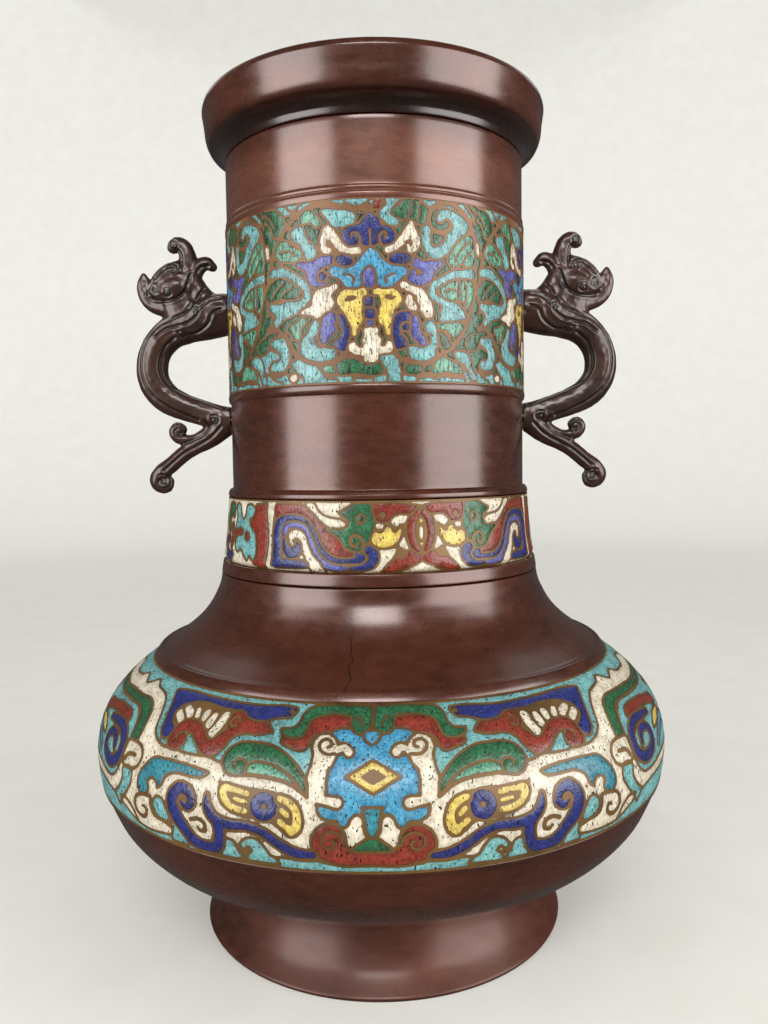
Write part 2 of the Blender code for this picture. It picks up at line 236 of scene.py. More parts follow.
BELLY_DRAWING = """
light_blue o -3,42* 12,42* 13.5,33 13.6,21 15.6,20 15,15 8,13 -3,13*
teal o -2.8,19.5* 2.8,19.5* 2.0,16.5 1.5,13 0,11.6 -1.5,13 -2.0,16.5
white o 12.6,31.5 13.1,27 12.8,22.6 13.2,20.3 15,19.9* 14.3,17.1 11.6,15.7 9.3,15.6 8.2,14.1 6.6,14.2
    5.6,16.3 4.2,17.6 2.6,16.9 2.1,14 1.8,11.5 4.5,9 6,7.4* 6.5,4.4* 58,4.4* 62,3.6 78,3.4 84,5.5 92,8
    101,9.3 112,9.5 125,10.5 140,10.5 162,11* 162,42.5* 150,43 140,45.5 131,43 125,43 117,44 113,46 110,45.2
    106,43.6 102,45.2 98.8,46.8 95,45 90,44 86,43 82.5,40.5 79.5,36.5 77.3,32.5 74,29.8 70,28.4 60,28.2
    48,28.3 44.3,27.2 41,25.2 34,25.8 27,25.3 22,23.9 17.6,21.3* 17.6,25 17.9,27.6 16.6,30.4 s 14.8,28,2.1
    15.2,31,2.0 14.6,33.5,2.2 c 13.9,35.9,3.8 s 13,31,1.7 10.6,34.3,1.3 8.2,35.7,1.4 6.8,34.2,1.6
    s 13.6,21.2,1.3 9.6,20.6,1.75
line s 10.8,33.7,0.45 13.4,33.5 15.6,35 15.8,37 14.2,38.2 12.4,37.4 12.2,36 13.4,35.6
line s 6.2,46,0.7 12,45.7 18.4,45.6,0.7
red o 6.8,45.4* 17.8,45.3 19.8,44 20.9,40.5 21.8,38.4 24,37.9 27.2,38.6* 27.6,36.8 25,35.3 20.2,35 19.6,37.4
    18,39.4 15,40.3 12.6,40.6 10.5,41.6 6.9,41.9*
green o -3,49* 18,49 21,48.3 22.8,46 23.4,42.8 25,40.9 28.8,40.3* 27.4,38.3 24,37.8 21.8,38.4 20.8,41
    19.7,44.2 17.6,45.4 7,45.5 6.6,43 5.6,40.6 3.5,39.7 1.3,40.7 0.5,43 0.5,45 -3,45*
line s 3.2,42.2,0.35 3.4,44.3,0.4 5,45.9,0.4
line s 0,40.5,0.5 0,49,0.6
light_blue o -2.6,40.2 0,41 2.6,40.2 2.2,38 0,36.2* -2.2,38
yellow o 0,31.9* 7.6,27.4* 0,22.9* -7.6,27.4*
line o 0,29.4* 3.7,27.4* 0,25.4* -3.7,27.4*
red o -3,3.6* 10,3.5 14,4.6 16.2,8 15.8,11.8 13,14.6 9.5,14.6 7,12 6.6,9.4 5.5,7.3* -3,7.2*
line s 7.3,9.2,0.4 8.6,11.9 11.2,12.8 13.4,11.2 13.2,8.8 11.4,7.8 9.9,9.0 10.3,10.3 11.4,10.2
green o -3,10.9* 1.5,10.7 4,9 5.8,7.2* -3,7.2*
line o 44.6,23.4* 40,22.6 33,22.9 26,22.3 21,19.6 18.3,15.5 18.8,12 21,10.0 23.5,10.9 27,13.6 31,14.2
    36,14.5 40,16.5 43,19.5
dark_blue c 29.6,18.2,4.3
line c 29.5,18.2,0.9
yellow s 25.2,20.7,1.35 22,19.3,1.5 20.2,16,1.6 20.6,12.9,1.6 21.8,11.7,1.3 s 21.6,12.2,1.3 24.9,14.5,1.3
yellow s 24.4,17.6,1.2 22.9,16.4,1.2
yellow s 34.9,21,1.3 39.5,21.4 42.2,21.2,1.5 41.4,18.5,1.5 38.4,16.6,1.4 35,16.2,1.25
yellow s 34.9,18.7,1.0 38.4,19
green o 44.6,29 43.8,32 41,34.4 36,35.1 30,34.6 25,32.2 21,28.6 18.4,24.5 17.6,21.4* 20.5,23.8 24,25.2
    29,26.1 34,26.2 37.5,25.8 40.8,25 43.6,26.2
light_green o 36.9,26.3* 36.6,28.4 35,29.6 30,29.7 25.5,28.2 21,24.9 18.4,21.9* 24,25.2 30,26.2
line s 36.6,28.6,0.4 37.8,29.8 39.7,30 40.8,28.9 40.2,27.8
turquoise o 25.4,2* 27.6,4.2 29.4,6.8 31.6,8.8 34.4,8.6 36.4,6.6 36.4,4.8* 35,5.1 34,6.0 33.2,5.2 34,3.6*
    34.4,2*
turquoise o 36.4,2* 37,4.6 38.6,7.2 40.8,7.3 42.4,5.2 42.6,2*
turquoise o 54.5,2* 55.5,5 58.2,8.3 60.8,8.4 60,5.6 60.6,3.4 60.6,2*
dark_blue s 47.2,18.6,0.8 46.6,15.5,1.5 44.2,12.6,1.8 39.5,11.6,1.7 34,12,1.5 29.5,10.8,1.5 25,8,1.6
    20.5,5.9,1.7 15.6,5.6,1.3 s 43,11.5,1.9 42.6,8,1.8 43.6,4.5,1.9 47,3.6,1.7 51.5,4.2,2 55,7.2,2.2
    59.2,12,2.6 59.6,16,2.2 57,18.8,1.9 53.4,18,1.8 52.4,15.4,1.6 54.4,14,1.3 56,15,0.9
line s 52.6,10.6,0.6 50.2,11.4 47.6,10.4 47.4,8.4 49.4,8,0.5 50,9,0.4
dark_blue o 25.9,47.4 29,47.9 40,47.2 60,47.5 78,47.4 81.5,46.6* 78.5,42.5 75.5,37 73.5,33 71,31.3 68.6,32.4
    68.4,35 71,37.6 73.2,39.6 72.6,41.8 69,44.2* 62,44.4 47,44.9 44.6,44.6 41.5,42.6 38.4,41.9 35,42.9
    31,44.2 27,45
line c 27.4,46.5,0.9
line o 48.6,44.6* 69,44.3 72.8,42 73.6,39.4 71.6,36.6 68.4,35.2 66.2,37.3 62,38.8 57.5,37.3 54.6,34.6
    51.5,33.8 49.2,37.8 48.2,41
white s 71.4,39.5,1.45 69,38
white s 69,42,1.1 66,40.4,1.4
white s 63.6,42,1.0 62.4,40.2
white s 59,41.8,1.25 59,39.8,1.0
white s 55.2,41.4,1.1 55.6,38.4,1.4
white s 50.9,42,1.5 51.3,39,1.4 52.6,36.2,1.5
red o 31.9,39.2* 34.5,41.6 37.5,42.1 41.5,42.5 44.2,44.2 46.8,44.4 48.6,42.4 48.4,40 47.2,38.2 49,36.4
    51.6,34 54,35.2 57.2,37.6 60.8,38.7 64.4,38.5 67.2,36.6 68.6,33.6 68,30.6 65.6,29 62.8,29.4 61.4,31.4
    62,33.4 64,34.2 62.4,35.2 60.2,34.9 57,33 54,30.8 50.5,29.8 48,30.6 46,33.2 44.4,36.4 41,37.9 36,38.2
line s 44.4,41.2,0.45 45.2,42.4 47,42.2 47.6,40.4 46.2,39.2 44.7,39.9
line s 64.2,34.1,0.45 65.6,33.4 65.2,32
teal o 48.2,24.6 52,25.4 60,25.6 67,25.2 70.6,24.6 73.2,22.4 76,18.6 76.6,15.4 75,13.2 71.6,13.4 70.6,15.6
    71.4,17.2 70.2,18.4 67.4,18 66.6,16.2* 64.8,17.6 64,20 60.5,22.2 54,22.6 50.5,23.0
turquoise o 62.4,11.4 64.2,13.8 66.8,13.8 68.4,11.4 67.4,8.6 64,7.2 61.2,7.6
line s 69.2,13.2,0.55 73,13.0 77,11.4 78.2,8.4,0.6 76.6,6.2,0.65 73.6,5.8 71.8,7.6,0.6 72.6,9.4,0.5
    73.7,9.1,0.4
line s 60.4,5.9,0.55 63.5,6.9 68.4,8.2 69.4,10.6 69.2,13.2
turquoise o 81,18.4 85.6,18.6 86.8,17.5 86.3,14.6 88.6,11 92.4,8.2* 89.4,5.2* 85.6,8.6 82.4,11.8 80.6,14.4
line s 89,19.6,0.5 86,18.6 82,18.6 78.2,20 76.9,22.8 78.4,25.6 82,26.8 88,26.6
line s 86.6,20.6,0.8 85.2,22.4,0.7 80.8,23,0.6
line s 77.6,3.4,0.5 80,6.4 84,8.4 88,8
green o 82.6,26.8* 83.2,31 84.7,35 87.6,38.6 92,40.2 100,40 110,39.8 122,38.6 135,38.9 162,39.5* 162,36.5*
    135,36 122,35.8 112,36.2 100,36.6 94,36.2 90.4,34.2 88.4,30.4 87.6,26.8*
turquoise o 88,26.6 89,30.8 91.4,34 95,35.8 105,36.2 120,35.5 135,35.7 162,36.2* 162,14* 135,13 112,13.4
    100,12.4 94,13 90.6,15.6 88.8,19 88,23
red o 94.6,31 97,33.4 103,34 112,33.6 122,31.4 130,29 131,26.4 126,26.6 118,29 108,30.4 98,30
dark_blue s 112,28,1 104,28.6,1.6 96,28.2,1.8 91.4,25.2,1.9 91.2,20.6,2 95.5,17.2,2 101,17,2 105.6,19.6,1.9
    105.6,23.4,1.7 101.6,25.2,1.5 97.6,24,1.4 96.4,21.6,1.2
light_blue s 112,17,1.2 118,20,1.6 126,21.4,1.8 133,19.6,1.8 137,16.2,1.4
yellow o 111,22 116,25.4 122,26 128,24.6 124,23.4 117,22
red s 138,32,1 144,31.6,1.6 149,28.4,1.9 149.6,23.6,1.8 145.8,21,1.6 142.4,23,1.4 143.4,25.8,1.1
green o 162,32* 156,31 153,26.6 154,21 158,17.6 162,17*
yellow o 162,27.4* 158.4,27.4 156.4,24.5 158.4,21 162,21*
"""

# The upper neck band: a lotus among scrolling vines, which are broad bronze lines.

NECK_DRAWING = """
turquoise o -40,66.5* -40,62.8 -20,63.2 0,62.6 20,62.9 37,62.7 37,66.5*
turquoise o -40,4.5* -40,8.9 -25,8.5 -10,8.8 8,8.4 22,8.9 37,8.6 37,4.5*
line s 1.6,66,0.8 0,61.9 -5,61.2 -11,62.6 -18,63.9 -24,61.9 -30,57.4 -34.8,51 -37.4,44 -38.2,36 -38,29
    -39.6,24,0.85
line s -39.6,24,0.85 -36,24.6,0.8 -31.8,22.8 -29.7,18.4 -29.9,13.6 -33,10.4 -37.4,9.9 -40.6,12.6 -40.8,16.6
    -38.2,18.9 -35.6,17.8,0.65
line s -30,20.8,0.8 -27,16.4 -21.6,13.2 -15,12.8 -10.5,14.6 -8.6,17,0.65
line s 5.4,18,0.65 7,14.6,0.8 11,12.9 16.4,12.2 21.6,14.8 27.4,19.2 31.4,24.4 34.2,31.4 35.6,40 35.9,48
    34.8,56 31,61.8 25,63.9 20,62 18,58.2 19.4,55.2 23,54.4 26,56.4,0.7 25.6,58.6,0.7
turquoise o -33,66* -30.4,64.4 -28.5,62.6 -26.6,62.8 -24.4,64.6 -20,65.2 -14,65.2 -11,66*
turquoise o -9.5,66* -9,63.6 -6.5,62.4 -2.5,62.7 -0.8,64.2 -0.4,66*
red o 0.6,66* 3,66* 3,63.5 1.6,61.2 0.2,61.6 0.4,63.6
turquoise o 3.8,66* 11,66* 8.4,63.2 6,61.2 5.2,59.6 6.6,58.4 8.7,57.4* 8,56 5,56.6 3,58 2,59.8 3.6,61.4
turquoise o -17,61.4 -14.5,61.6 -11.5,60.6 -8,59.9 -5.6,58.8 -6,57.2 -9,56 -12,56 -13.8,57.6 -15.6,59.6
turquoise o 30,66* 32.6,65.6* 35.6,62.8 38,60.4 40.4,59 40.2,56.4 38,56.6 36.4,58.8 34.8,61.4 32.4,63.6
dark_blue o -1,59.4 0.9,58.8 1.9,57 2.8,55.7 4.6,55.3 6.5,54.2 7,52.3 6.1,50.4 4.2,49.9 2.6,50.6 2,52.2
    1.6,51 0.8,49.8 -0.1,49.6 -0.9,50.6 -1.8,49.6 -2.8,49.5 -3.6,50.8 -4.2,52 -4.6,50.5 -6,49.9 -8,50.1
    -9.6,51.6 -9.9,53.4 -9,55 -6.6,56 -4.6,56.2 -3.2,57.8
line s -1,49,0.4 -1,54.6
line s -4.7,49.6,0.45 -4.3,51.8 -5.2,53.5 -6.8,53.5 -6.9,52.2,0.4
line s 2.4,50,0.45 2,52 2.5,53.4 3.8,53.7 4.3,52.7 3.6,52,0.4
white s -15,56.2,0.5 -15,54.6,1.5 -13.6,53.4,1.6 -11.8,51,1.1 -10.4,48.8,1.1 -7.8,47.8,0.9 -5,48,1.0
    s -15.4,54.4,1.3 -16.5,51.8,0.9 -16.3,49.4,0.9 -14.8,48.3,1.1
white s 12.2,56.9,0.5 12.1,55,1.3 12.6,52.4,1.9 12.6,49.6,1.9 12,48.4,1.2 s 11.4,54,1.5 9.6,51.6,1.2
    7.6,49.6,1.0 4.4,48,0.9
line s 10.4,50.4,0.5 11.8,50.9,0.7 12,49.6,0.4
light_green o -24.4,58.4 -23.8,60.6 -21.4,61.8 -18.8,60 -17.4,57.4 -18.6,56.4* -21,58.2
turquoise o -28.3,55.2 -27,56.8 -24,57 -22.8,54.6 -21.8,52.4 -19.9,50.8 -18.9,48.6 -19.6,46.6 -22.3,46.4
    -23,48.6 -23.7,50.6 -25.6,52.2 -27.6,53.4
light_green o -32.6,52.6 -30.2,53.2 -27.8,51.4 -24.6,49 -24.3,47.4 -26.4,46 -29.6,46.6 -33,47.4 -34.6,49.4
line s -33.4,49.8,0.3 -30,50.1 -26.6,48.2
violet s -25.8,45.4,0.9 -22,44.2,1.4 -18.5,44.7,1.8 -14.5,45.6,1.5 -12.4,45.5,1.4 s -20.5,43.6,1.9
    -20.2,40.4,1.9 -18.6,38.6,1.5 -16.4,38.4,0.9
dark_blue c -17,40.2,1.5
dark_blue s -11.8,45.4,1.3 -9.6,45.3,1.8 -8.2,44.9,1.3
violet s 22,44.4,0.9 18.6,43.2,1.7 15.4,43.6,1.3 12.6,44.9,1.3 s 18.4,42.6,1.8 17.2,39.8,1.7 14.6,38.6,1.5
    12.4,39.2,1.3 12.5,40.8,1.0
dark_blue s 6.2,45.4,1.2 8.4,45.4,1.7 11.4,45.3,1.3
light_blue o -1,48.5 -2.8,47.3 -4.5,45.5 -6.1,43.6 -8,42.7 -10,42.7 -12,43.7 -13.5,43.5 -14.4,42 -13.5,40.4
    -11.3,39.6 -10.2,38.4 -9.2,37.1 -6.6,36.4 -4.6,37.2 -4.6,39.5 -4.2,41.3 -3,42.5 -1.2,43.5 0.4,42.3
    1.1,39.9 1.5,37.6 3.5,36.4 6.2,37.1 7.9,38.7 9.5,39.6 10.9,41 9.9,42.7 6.8,43.1 4.9,43.5 3,45.1 1.7,46.8
line s -10,40.8,0.35 -8,40.6 -6.4,39.2 -6.8,37.9,0.35
line s 7,40.8,0.35 5,40.4 3.6,39 4,37.8,0.35
violet o -1.5,43 -0.2,41.6 0.2,39.2 -0.5,37 -1.6,36.6 -2.7,37 -3.4,39.2 -3.1,41.6
white s -12.6,37,0.9 -14.6,35.8,1.2 -17.8,35,1.7 -18.4,32.4,1.9 -18.8,30,2.1 -19.2,28.4,1.2 s -24.6,29.6,0.6
    -21.6,29.6,1.2 -18.8,29.8,1.8 s -17.4,30.6,1.4 -15,31,1.1 -14,31.8,1.0 -14.4,33,0.8
white s 9.4,37,1.0 12,36,1.1 15,34.8,1.4 16.4,32,1.9 17.6,29.2,2 18,27.8,1.0
white s 11.4,33.4,0.9 11.8,31.2,1.3 13.2,30.4,0.9
yellow o -9.8,35.8 -6,35.9 -2.6,36 -2.4,34 -3.9,33.4 -3.8,31 -3.9,28 -3.9,26 -5.2,24.2 -6.3,21.1* -7.2,21.3
    -7.6,23.8 -8.7,25.8 -9.2,28 -10.6,30 -11.8,31.8 -11.5,34.2
line s -9,32.7,0.5 -7.6,33.2,0.8 -6,33.4,0.5
yellow o 0,35.9 3,36 6.2,36 8,34.8 8.8,33.2 8,30.8 6.3,29.6 5.9,27.6 5.5,25 5,21.2* 3.8,21.4 3,24 1.4,25.6
    1.6,28 1.9,30 2.1,33 1.4,34.4 0,34.5
line s 3.9,33.6,0.5 5,33.4,0.8 5.9,33,0.5
dark_blue o -2.7,33.5* -0.4,33.5* -0.3,31* -2.8,31*
dark_blue o -2.9,29.6* 0,29.6* 0,27* -2.9,27*
violet o -2.5,25.8* -0.4,25.8* -0.5,24.2* -2.4,24.2*
white o -3.6,23.2 1,23.3 0.9,21.4 2,20 1.5,17.8 3.4,17.3* 4.1,19.4 5.3,18.6 5.2,16.6 3,15.6 1,15.5 0.4,13
    -2.2,12.6 -3.4,13.2 -4.4,15 -6.4,15.2 -8,16.3 -8.2,18.6 -6.6,19.3* -5.6,17.4 -3.8,17.2 -4.2,19.8
    -3.5,21.2
violet s -12.2,27.8,1.1 -15,26.4,1.8 -15.9,23.4,1.8 -16.6,20.8,1.6 s -15.2,23,1.6 -13.8,23.6,1.1
dark_blue s -11.2,27.6,1.1 -9.7,25,1.2 -9.6,22,1.2 -10.6,19.6,1.5 -11.6,18.6,1.7
dark_blue s 8.3,18.8,1.9 6.9,21.6,1.2 6.9,24.8,1.3 8.8,27.2,1.5 11.4,27.4,1.4
violet s 12.9,27,1.2 13.5,24.4,1.4 13.2,21.8,1.5 15,20,1.4 15.4,18.6,1.1
dark_blue c 9.9,24,1.2
turquoise o -19.6,26.6 -18.3,25.2 -19.2,22.4 -20.4,20.2 -19.6,18.6 -18,17.6 -15.3,17.4 -13,16.8 -13.4,15
    -17,14.1 -20.4,14.8 -23.4,16.2 -25.3,18.6 -24.4,20.6 -22.2,23 -21,25.2
turquoise o 18.7,26.6 16.4,25 17,22.9 18.4,21.2 18.3,18.6 16.2,17.3 13.8,17.4 11,17.2 11,15.4 13.5,14
    17.9,14.5 19.7,16.3 21,19.4 20.6,22.4 19.8,25.2
green o -12.6,11.4 -10.4,12.4 -8.4,13.8 -6.2,13.6 -4,12 -1,12 1.4,12.4 2.2,10.6 1.6,8.8 -2,8.4 -6.5,9.2
    -9,8.6 -12,9
turquoise o 1.8,14 4.9,14.4 6.9,12.4 8.1,9.4 8.6,6* 3.4,6* 4,8.6 3.5,10.9 2.2,12.5
turquoise o -7,7.8* -0.6,7.6* -0.6,5.6* -7,5.6*
turquoise o -28.6,13.4 -26.6,14 -24.2,12.4 -20.6,11.6 -17.4,9.6 -15.4,8 -12,7.2 -11.6,5.6* -24,5.6*
    -24.6,8.6 -26.6,10.2
white o -30.4,9 -28,9.8 -26.4,9 -26.6,7.6 -29.6,7.4
light_green s -16.4,10.8,0.7 -14.4,10.4,0.9 -13.2,9.8,0.6
turquoise s -36.8,20.6,1.0 -34.4,20.4,1.3 -32.4,18,1.6 -31.9,15.2,1.7 -33.8,12.8,1.6 -36.6,12.8,1.3
turquoise o -41.6,16.6 -40.6,13.6 -38.9,10.4 -36.4,8.4 -33,7 -33,5.6* -43,5.6* -42.6,10
light_green o -30,24.8 -27,26 -24,27.4 -22.9,26.2 -24.8,24.4 -25.4,21.6 -26.8,20.8 -28.2,22.6
turquoise s -36.6,43,0.9 -33,43.6,1.5 -29,42,1.3 -25.6,40,1.2 -22.9,37.4,1.1 -22.3,34.6,1.0 -24,32.4,1.2
    -28.4,31,2.2 -32.4,30.8,2.2 -36.6,32.2,0.8 s -32,29.8,1.8 -33.6,28.2,1.4 -35,27,0.9
green o -38,38 -36.6,39.8 -32.8,41 -29.6,40.2 -27,38.4 -25.2,36 -26.2,34.4 -29.6,34.6 -33.8,34.8 -37.8,34.6
line s -36.8,35,0.3 -34.4,37.6 -31.4,39.8
line s -32.6,35,0.3 -30.4,36.8 -28,37.8
white o -39,52.8 -38,52.2 -37.9,50.6 -38.5,48.4 -39.4,50.4
white o -40,29.1 -38.6,28.7 -37.1,29.5 -36.9,27.4 -38.4,26.2 -40,26.3
green o -42,63.5 -37,64.2 -32.5,62.6 -31,60 -33,56.5 -35,55.2 -36.2,58 -38.5,60.2 -42,61
line s -40,63.2,0.3 -37,61 -35,58
green o 10.4,64.4 8.2,62.4 6.4,60.6 8.4,58.4 10.6,57.9 12.8,58.4 14.4,56.8 16,56.6 17,59 17.2,61.6 16,63.8
    13,64.6
line s 12.9,64.4,0.3 12.4,61 11.2,58.2
line s 15.4,63.8,0.3 15,60 14.6,57.2
turquoise s 22.2,58.6,1.1 23.6,60.3,1.2 26.8,60.4,1.5 29.8,58.6,1.9 30.4,56,2.0 27.8,53.8,1.6 25.2,51.2,1.5
    22.6,48.6,1.7 19.6,47.8,1.7 17.6,49.2,1.4 17.4,52,1.3 17,54.6,1.3
light_green o 31.8,54.6 34.2,54.2 35,51 35,46 33.4,44.6 30,45.4 26.4,43.8 25,45 26.4,48.4 28.6,51.4
line s 34,53,0.3 31,50.6 29,48.4 27.6,45.6
line s 34.6,49.6,0.3 32,47.4 30.8,45.2
turquoise s 34.2,42.4,1.2 30.4,41.8,1.2 26.6,41,1.2 22.8,39,1.2 20,37.2,1.1 19.4,34.8,1.0 21.4,33.2,1.0
    24.6,31.8,1.1 27.6,30,1.9 29,28.8,2.0 s 27,29,2.2 23.4,28.4,1.6 22.6,27,0.8
light_green o 22,35.8 23.8,37.8 26.4,39.2 30,39.8 33.8,39.4 34.6,37 34.2,34.4 33,31.8 31.6,31.2* 31,33
    27.8,33.2 25.2,33.4 23,34.2
line s 28.6,33,0.35 29.4,36 29,40
line s 31.6,32.4,0.3 32,36 31.2,40
line s 23.6,35.6,0.3 26,36.6 28.8,36
light_green o 20.8,25 23,25.2 26,25.4 29.2,26 30.2,25 28.6,22.6 27,21 25.4,22 23.6,23.8 22,23.6
green o 21.4,22.8 22.8,22 24.8,19.6 25,18 22.8,17 21.8,19
turquoise o 27,15.6 30,16.6 32.8,15.4 33.8,13 34.4,11 36.6,8.8 38.4,7.2* 33.6,6.8* 32.4,9.6 31.4,12.2
    29,13.4
light_green o 18.6,9.2 20.4,11.8 23.4,13.8 26.8,12.8 29.8,11 30.6,9.4 27.4,8.9 23.6,9.8 21,8.9
turquoise o 14,7.4* 17.6,8.2 20,7.6 22.6,8.5 26,8.1 31.4,7.8* 31.4,5.6* 13,5.6*
green o 9.8,10.8 12.4,11.2 15.4,11 14.8,9 12,8.4 10.4,9
green o 31.6,19.4 33.6,21.8 36,22.4 37.6,20.6 36.6,18.6 33.4,17.4
"""

# The lower neck band: facing dragons on white, with two interlaced loops between their tongues.

LOWER_DRAWING = """
red o -37.2,30.4 -33,30.7 -29,30.7 -25.2,29.9 -22.8,28.2 -20.4,26.2 -18,23.8 -15.4,21.2 -13,19.4 -11.4,17
    -8,15.2 -8.2,13.4* -12.5,13.1 -15.8,14.3 -18.4,17 -20,20.4 -21.8,23.8 -23.8,26.2 -26.6,27.4 -30,27.9
    -34,27.5 -37,26.6
line s -38.1,26,0.55 -37.9,18 -38.1,10.6
dark_blue s -36,11,1.4 -36,16,1.5 -36,22,1.6 -35,24.8,1.4 -32,26,1.1 -28,26.2,1.05 -25,25.3,1.0
    -22.8,23.1,1.0 -21,20.1,1.0 -19.2,16.7,1.0 -17,14.3,1.0 -14,12.8,1.0 -9,12.7,0.95 -5.6,13.3,1.0
    -5,14.2,0.8 -7,14.6,0.7 s -36,11,1.4 -31,10.9,1.15 -26,10.9,1.0 -24.2,10.7,0.6
violet s -33.4,20.6,0.9 -32.8,22.6,0.95 -31,23.9,1.0 -28,24.1,1.0 -25.2,23,1.05 -23.4,20.4,1.05
    -21.9,17,1.05 -20.2,13.6,1.05 -17.6,11.3,1.05 -14,10.2,1.0 -9,10.2,0.95
dark_blue s -9,10.2,0.95 -4,10.7,1.05 -1.7,12.4,1.4 -1.5,14.8,1.5 -3,16.1,1.4
dark_blue s -32.6,19,0.9 -32.3,16.4,1.3 -30.2,14.6,1.7 -28.2,15.3,1.5 -27.5,17.2,1.0
line s -31,22.6,0.45 -32,20.4 -31.8,18 -30.4,16.6 -29.2,17.4
white s -30.3,18,0.95 -30.2,20.2,1.15 -28.2,20.9,1.25 -26,20.1,1.25 -25,17.6,1.15 -24,15,1.3 -22.4,12.6,1.6
    -20.6,10,2.1 -20,7,2.4
line s -27.6,19,0.45 -28.6,19.2 -29.3,18.2 -28.6,17.3
green o -10.6,29.3 -8.8,30.4 -5,31.2 -2.2,30.4 -1.3,28 -1.1,25 -1.8,22 -2.8,19.4 -4,18.4* -4.6,16.8
    -8.2,15.6 -10.8,16.6 -12,18.8 -13.2,20.2 -15.2,21.4 -17.2,22.6* -13.8,23 -10.9,22.9 -9.5,24.3 -9.7,26.4
    -11.6,27.7 -12.6,28.4*
white o -24.6,31 -22,31 -20.6,29 -18.6,27.2 -15.4,26.2 -12.2,25.7 -10.8,24.6 -11.8,23.3 -14.6,23.3
    -17.8,24.3 -20.2,26 -22.2,28.2
green c -5.6,26.2,1.5
line s -5.2,15.4,0.5 -4.6,18 -5.6,20.2 -7.6,20.8 -9.1,19.4 -8.7,17.6 -7.2,17.2 -6.6,18.4,0.4
red o -1.4,30.5 3,30.9 8,31 12,30.3 14.5,29.7 16,28.7* 13,28.3 10,27.9 6.6,27.9 4.8,26.9 3.4,25.4 1.4,25.2
    -0.6,26 -1.6,27.8
line c 1.7,27.3,1.1
line o -1.8,18.6 0.4,17 3.6,16.6 6.2,17.9 8,20.6 8.6,23.6 8.2,24.9 7.1,23.6 6.2,22.6 5.4,24.2 4,24.5
    2.8,23.8 2.2,22.3 0.6,22.7 -1,22.5* -2,20.6
yellow o -1.9,20.8 -0.6,21.7 0.8,21.2 2,21.7 3.2,23.3 4.3,23 4.7,21.7 5.7,21.3 7.6,22.8 6.9,19.6 4.6,17.6
    1.6,17.2 -1,18.1
red o 0.8,7.6* 2.6,10.4 4.8,12.5 7.4,14.2 10.4,15.1 13.6,15.3 16.4,14.9* 13.6,12.2 10.6,10.7 7.6,9.2 4.4,8.2
line o 5.6,13.6 6.2,16.2 7.5,17 8.9,16 10,14.6
line o 14.5,30 12,28.6 10,25.6 9.4,22 9.8,18.6 11.4,15.6 13.2,14.2 14.5,13.8 16,15 16,29
red s 13.2,15.8,1.0 11.7,19,1.2 11.2,22,1.25 11.7,25.4,1.2 13.6,28.5,1.0
yellow o 14.5,26.2 13.3,23.8 13,21.4 13.3,19 14.5,16.4 15.7,19 16,21.4 15.7,23.8
white o 14.5,24.4 13.7,23.2 13.5,21.4 13.7,19.6 14.5,18.4 15.3,19.6 15.5,21.4 15.3,23
red o -49.4,21.4 -48,20.6 -46.8,17 -46.4,12.6 -47.6,10.2 -45,8.8 -42,8.4 -41.4,12 -40.8,17 -40.9,21 -41.8,25
    -42.2,28 -42,30.4 -45,30.2 -47.6,30 -48,27.4 -49.8,25 -51,23.4*
turquoise o -62,30 -59.5,29.6 -58.6,26.8 -56.4,24.6 -54.4,26.4 -53.6,29.4 -50.6,30 -48.6,28.4 -49.8,26.6
    -52.6,25.4* -51.4,23 -48.6,21.2* -47.2,17.6 -47.2,13.4 -48.8,11.4 -51.2,13.2 -52,11* -54.4,12.4 -57,14.8
    -60.4,13.6 -62.4,16.4 -60.4,19.2 -62.6,21.4 -61.6,25
red c -53,19.2,1.6
red s -57,20.6,1.0 -60,20.4,1.2 -62,19.4,0.9
green o -64.6,29.6 -68.6,30.2 -72.4,28.4 -73.8,24.6 -73,20.6 -70.4,19 -69,21.2 -70,24 -68.2,26 -65.6,25.4
dark_blue s -65.2,11.6,1.3 -68.8,10.8,1.6 -72.2,12.8,1.6 -73,16.4,1.3 -70,17.2,1.0
yellow o -78,25.6* -76.2,22.6 -75.8,19.8 -76.4,17 -78,14* -80,17 -80,23
red s -66.4,22,1.2 -65.4,18.4,1.4 -66.6,15.2,1.1
"""


# Turning the drawing into solid cells around the vase

ENAMEL_SHOULDER = 0.2
SMALLEST_CELL = 0.35
SMALLEST_TRIANGLE = 1e-7
LATTICE_SPACING = 2.4
LATTICE_CLEARANCE = 0.65
NEAREST_NODE = 0.05


def sampled(field, rows, columns):
    """The field's value between its grid points, by straight-line weights."""
    rows = np.clip(rows, 0, field.shape[0] - 1.001)
    columns = np.clip(columns, 0, field.shape[1] - 1.001)
    i, j = rows.astype(int), columns.astype(int)
    a, b = rows - i, columns - j
    return (
        field[i, j] * (1 - a) * (1 - b) + field[i + 1, j] * a * (1 - b)
        + field[i, j + 1] * (1 - a) * b + field[i + 1, j + 1] * a * b
    )


def ripple(seed, length, height, x, y, scale):
    """Smooth noise from -1 to 1 that meets itself after length along x."""
    source = np.random.RandomState(seed)
    across, up = max(3, int(round(length / scale))), int(height / scale) + 3
    table = source.uniform(-1, 1, (up, across))
    table = np.concatenate([table, table[:, :1]], axis=1)
    u, v = (x % length) / length * across, (y - y.min()) / scale
    i, j = np.floor(v).astype(int), np.minimum(np.floor(u).astype(int), across - 1)
    a, b = v - i, u - j
    a, b = a * a * (3 - 2 * a), b * b * (3 - 2 * b)
    return (
        table[i, j] * (1 - a) * (1 - b) + table[i + 1, j] * a * (1 - b)
        + table[i, j + 1] * (1 - a) * b + table[i + 1, j + 1] * a * b
    )


